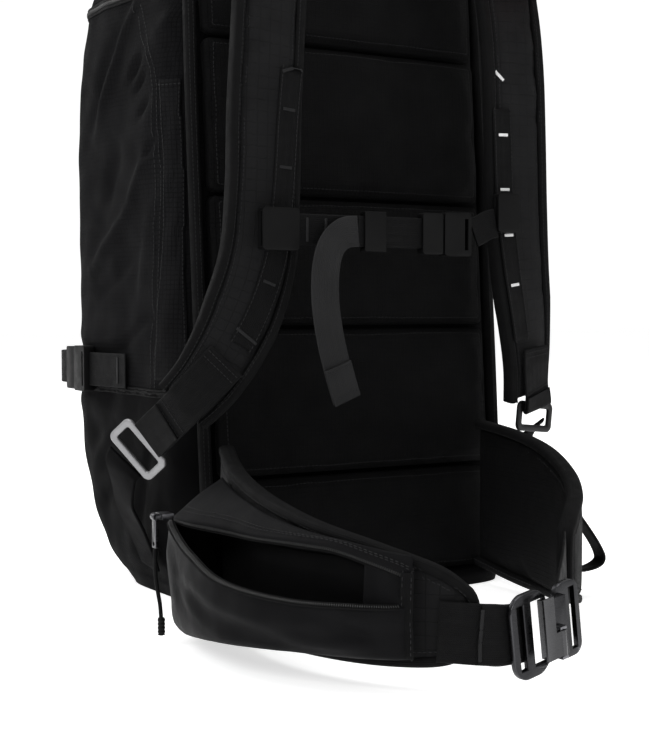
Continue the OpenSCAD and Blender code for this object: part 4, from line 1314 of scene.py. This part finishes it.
def pocket_profile(s, inset=0.0, count=34):
    """The pocket's wall at a station, from its lip down and back to the wing, with its folds."""
    at = pocket_at(s)
    b, low = at.bulge, at.bottom + inset
    points = [(b - inset, at.lip), (b + 1.2 - inset, (at.lip + low + 17) / 2), (b - 0.5 - inset, low + 17),
              (0.86 * b - inset, low + 3), (0.42 * b, low), (0.4, low + 2)]
    across, _, height = resample(curve([(x, 0, z) for x, z in points], 10), count).T
    q = np.column_stack([np.full(count, at.run), height])
    moved = sum(crease(q, *fold) for fold in POCKET_FOLDS)
    moved *= np.clip(across / 14, 0, 1) * np.clip((height - low) / 8, 0.2, 1)
    world = at.flat + np.outer(across + moved, at.out)
    world[:, 2] = height
    return world


def open_sheet(name, rows, look, thickness, replaces=()):
    """A sheet of fabric through rows of points."""
    sheet = grid(name, np.array(rows), look, wrap=False, caps=False, replaces=replaces)
    thicken(sheet, thickness)
    return sheet


def add_pocket():
    """The open pocket on the left wing: its wall, its lining, the panel over its mouth and what edges it."""
    stations = np.concatenate([[0, 0.03, 0.08, 0.15, 0.25], np.linspace(0.36, LAST_STATION, 70)])
    wall = np.array([pocket_profile(s) for s in stations])
    wall += 0.5 * soft_noise(wall.reshape(-1, 3), 14, 2).reshape(len(wall), -1)[..., None] * [1, 1, 0]
    shell = open_sheet("hip_pocket_shell", wall, "coated_fabric", 1.2, ["hip_pocket"])
    lining = []
    for s in np.linspace(0.12, 5.6, 50):
        at = pocket_at(s)
        back = [outward(at, 1.6, z) for z in np.linspace(at.bottom + 6, min(MOUTH_Z, at.panel_lip + 3), 5)]
        lining.append(np.concatenate([pocket_profile(s, 2.4, 20), back]))
    open_sheet("hip_pocket_lining", lining, "lining", 0.5)
    add_pocket_panel(stations)
    add_pocket_mouth(shell)
    add_pocket_gusset()
    add_pocket_binding()


def add_pocket_panel(stations):
    """The panel that slopes from the wing's face out to the upper lip of the mouth."""
    rows = []
    f = np.linspace(0, 1, 22)
    for at in map(pocket_at, stations):
        line = at.flat + np.outer(1.4 + (at.reach - 1.4) * f, at.out)
        waves = 2.2 * np.sin(np.pi * f) + 0.7 * np.sin(at.run / 15 + 5 * f) * f
        line[:, 2] = at.top + (at.panel_lip - at.top) * f + waves
        hem = [line[-1] - [0, 0, 1.8], line[-1] - at.out - [0, 0, 3]]
        rows.append(np.concatenate([[line[0] - [0, 0, 4]], line, hem]))
    panel = open_sheet("hip_pocket_panel", rows, "coated_fabric", 1.2)
    seams = [np.array([row[-k] for row in rows[6:]]) + [0, 0, 1] for k in (6, 8)]
    stitches("pocket_panel_stitches", seams, [panel])


def add_pocket_mouth(shell):
    """The zip along both lips of the open pocket."""
    lips = [pocket_at(s) for s in np.linspace(0.3, MOUTH_END, 64)]
    lower = [outward(at, at.bulge - 0.6, at.lip + 0.6) for at in lips]
    upper = [outward(at, at.reach - 0.6, at.panel_lip - 2.6 + 0.6 * math.sin(at.run / 17)) for at in lips]
    zip_line("pocket_zip_lower", lower, [at.out * 0.5 + [0, 0, 1] for at in lips], 6.4, ["pocket_zip"])
    zip_line("pocket_zip_upper", upper, [at.out + [0, 0, 0.25] for at in lips], 6.0)
    stitches("pocket_stitches", [[p - [0, 0, drop] for p in lower] for drop in (5.5, 3.0)], [shell])


def add_pocket_gusset():
    """The slack fabric that closes the front end of the mouth."""
    rows = []
    f = np.linspace(0, 1, 28)
    slack = np.sin(np.pi * f) ** 0.7
    for s in np.linspace(GUSSET_START, LAST_STATION, 54):
        at = pocket_at(s)
        sag = 40 * max(0, 1 - (s - GUSSET_START) / 0.9) ** 1.2
        folds = 4.6 * np.cos(at.run / 2.6 + 6 * f) * min(1, (LAST_STATION - s) / 0.3) - sag
        line = at.flat + np.outer((at.bulge - 0.4) * (1 - f) + (at.reach - 0.5) * f, at.out)
        line[:, 2] = at.lip + 0.5 + (at.panel_lip - 1.5 - at.lip) * f ** 1.3 + folds * slack
        rows.append(line)
    open_sheet("pocket_gusset", rows, "coated_fabric", 1.0)


def add_pocket_binding():
    """The binding down the pocket's front end."""
    wall = pocket_profile(BINDING_AT)[:30]
    at = pocket_at(BINDING_AT)
    top = [outward(at, at.reach, at.panel_lip + 1), wall[0] + [0, 0, 4]]
    path = resample(np.concatenate([top, wall]) + at.out * 1.1, 40)
    along = np.array([-at.out[1], at.out[0], 0])
    faces = np.cross(along, unit(np.gradient(path, axis=0)))
    strip = sweep("pocket_binding", path, faces, band_outline(9, 1.3), "binding")
    stitches("pocket_binding_stitches", [path + along * d for d in (-3, 3)], [strip])


def add_hip_webbing():
    """The webbing on each side of the hip buckle. The left one comes back over itself."""
    left = [(-117.5, -268.4, 40), (-101, -281, 39), (-89, -286, 38), (-78, -286.2, 36.5),
            (-57.3, -282.7, 35.5)]
    left_faces = [(-0.7, -0.7, 0), (-0.6, -0.8, 0), (-0.1, -1, 0), (0.17, -1, 0), (0.17, -1, 0)]
    right = [(32, -215.7, 66), (12, -238, 58), (-8, -259, 49), (-19, -272, 43), (-28.8, -277.4, 40)]
    right_faces = [(0.65, -0.75, 0), (0.65, -0.75, 0), (0.6, -0.8, 0), (0.35, -0.94, 0), (0.17, -1, 0)]
    band = webbing("hip_band_left", left, left_faces, 40, replaces=["hip_webbing"], ripple=0.3)
    layer = [(-96.5, -285.6, 38.8), (-89, -288.0, 38.2), (-78, -288.4, 36.9), (-61, -285.6, 35.9)]
    folded = webbing("hip_band_left_fold", layer, left_faces[1:], 39, ripple=0.2)
    webbing("hip_band_right", right, right_faces, 40, replaces=["hip_webbing"], ripple=0.3)
    bartacks("hip_band_bartack", [[(-97.5, -287, z) for z in (22, 55)]], [band, folded])


def add_gear_loop():
    """The loop on the right wing that gear hangs from."""
    loop = [(123.4, -84, 108), (132, -86, 92), (152, -92, 66), (168, -96, 42), (170, -97, 30), (156, -94, 24),
            (138, -88, 24), (122, -84, 26)]
    faces = [(1, 0, 0.4), (1, 0, 0.5), (1, 0, 0.6), (1, 0, 0.4), (1, 0, -0.4)] + [(0, 0, -1)] * 3
    gear = webbing("gear_loop_band", loop, faces, 14, t=2.4, replaces=["gear_loop"], ripple=0)
    path, turned = curve(loop, STEPS), curve(faces, STEPS)
    _, ways, up = frames(path, turned)
    stitches("gear_loop_stitches", [path + up * 1.4 + ways * d for d in (-5, 5)], [gear])


# ---- Side panel ----------------------------------------------------------------------------------


def corner_strip(ring, side, begin_x, stop_y):
    """The stretch of a bag outline that runs from the back at begin_x round the rear corner to stop_y."""
    near = ring[(side * ring[:, 0] > 100) & (ring[:, 1] < stop_y + 30)]
    middle = np.array([side * 120, stop_y + 30])
    angle = np.arctan2(side * (near[:, 0] - middle[0]), middle[1] - near[:, 1])
    line = near[np.argsort(angle)]
    s = arc(line)
    first = np.interp(begin_x, side * line[: len(line) // 2, 0], s[: len(line) // 2])
    flank = np.argmax(side * line[:, 0] > begin_x + 12)
    last = np.interp(stop_y, line[flank:, 1], s[flank:])
    return np.stack([np.interp(np.linspace(first, last, 40), s, line[:, k]) for k in range(3)], axis=1)


def add_side_panels(bag):
    """A flat fabric panel sewn over each of the bag's corners between the back panel and the side seam."""
    tree = surface_of(bag)
    seam_y, seam_z = zip(*SIDE_SEAM[::-1])
    for side, word in ((-1, "left"), (1, "right")):
        heights = np.linspace(186, 437, 100)
        ends = np.interp(heights, seam_z, seam_y) - 3 + heights * LEAN
        rows = np.array([corner_strip(bag_ring(z, 720, -6), side, 154, end) for z, end in zip(heights, ends)])
        points, out = laid_on(tree, rows.reshape(-1, 3), 0)
        up, across, _ = rows.shape
        u, v = np.meshgrid(np.linspace(0, 1, across), np.linspace(0, 1, up))
        edge = np.minimum(np.minimum(u, 1 - u) * 45, np.minimum(v, 1 - v) * 250)
        rise = 1.0 + 1.3 * np.clip(edge / 3, 0, 1) ** 0.5
        waves = np.sin((v * 250 + u * 60) / 11) * (0.4 + 0.6 * np.sin(v * 9) ** 2)
        rise += 0.5 * waves * np.clip(edge / 12, 0, 1)
        lifted = (points + out * rise.reshape(-1, 1)).reshape(rows.shape)
        panel = grid("side_panel_" + word, lifted if side > 0 else lifted[:, ::-1], "side_fabric", wrap=False,
                     caps=False)
        stitches("side_panel_stitches_" + word, [rows[2:-2, 3], rows[2:-2, -4], rows[-3, 3:-3]], [panel])


# ---- Hardware: CAD parts that keep their shape ---------------------------------------------------

HARDWARE = {
    "sheet_plastic": ["frame_sheet", "airbag_tray"],
    "stay_aluminium": ["frame_stays"],
    "black_plastic": ["fan_housing", "control_box", "trigger_dock", "sternum_slider_left",
                      "sternum_slider_right", "sternum_keeper", "sternum_plug", "sternum_socket",
                      "side_sockets", "side_plug_left", "side_plug_right"],
    "latch_steel": ["fan_motor", "hip_buckle_latch"],
    "battery_wrap": ["battery_pack"],
    "signal_red": ["power_button", "trigger_handle"],
    "fan_plastic": ["fan_impeller"],
    "ring_metal": ["strap_rings"],
    "buckle_metal": ["lid_zip_slider_left", "lid_zip_slider_right", "pocket_slider", "pocket_puller",
                     "hip_buckle_frame", "hip_buckle_hook"],
}
BEVELS = {"strap_rings": 1.3, "hip_buckle_frame": 0.9, "hip_buckle_hook": 0.7, "trigger_handle": 2.2,
          "trigger_dock": 1.4, "sternum_slider_left": 1.2, "sternum_slider_right": 1.2, "battery_pack": 2.0}


def finish_hardware():
    """Gives the CAD's hard parts their looks and rounds their edges."""
    for look, nodes in HARDWARE.items():
        for name in nodes:
            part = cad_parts[name]
            for s in part.material_slots:
                s.material = LOOKS[look]
            modify(part, "WELD", merge_threshold=0.00001)
            modify(part, "BEVEL", width=BEVELS.get(name, 0.6) * MM, segments=3, limit_method="ANGLE",
                   angle_limit=math.radians(35), harden_normals=True)
            shade_smooth(part)


# ---- Assembly ------------------------------------------------------------------------------------

add_camera()
add_studio()
add_pull_cord()
add_back_pads()
add_straps()
add_wing("left", WING_LEFT, (), "strap_foam")
add_wing("right", WING_RIGHT, (8, 14, 20, 27), "back_foam")
bag = add_bag()
add_side_panels(bag)
add_top()
add_airbag_bundle()
add_strap_webbing()
add_handle()
add_cables()
add_sternum()
add_side_straps()
add_pocket()
add_hip_webbing()
add_gear_loop()
finish_hardware()
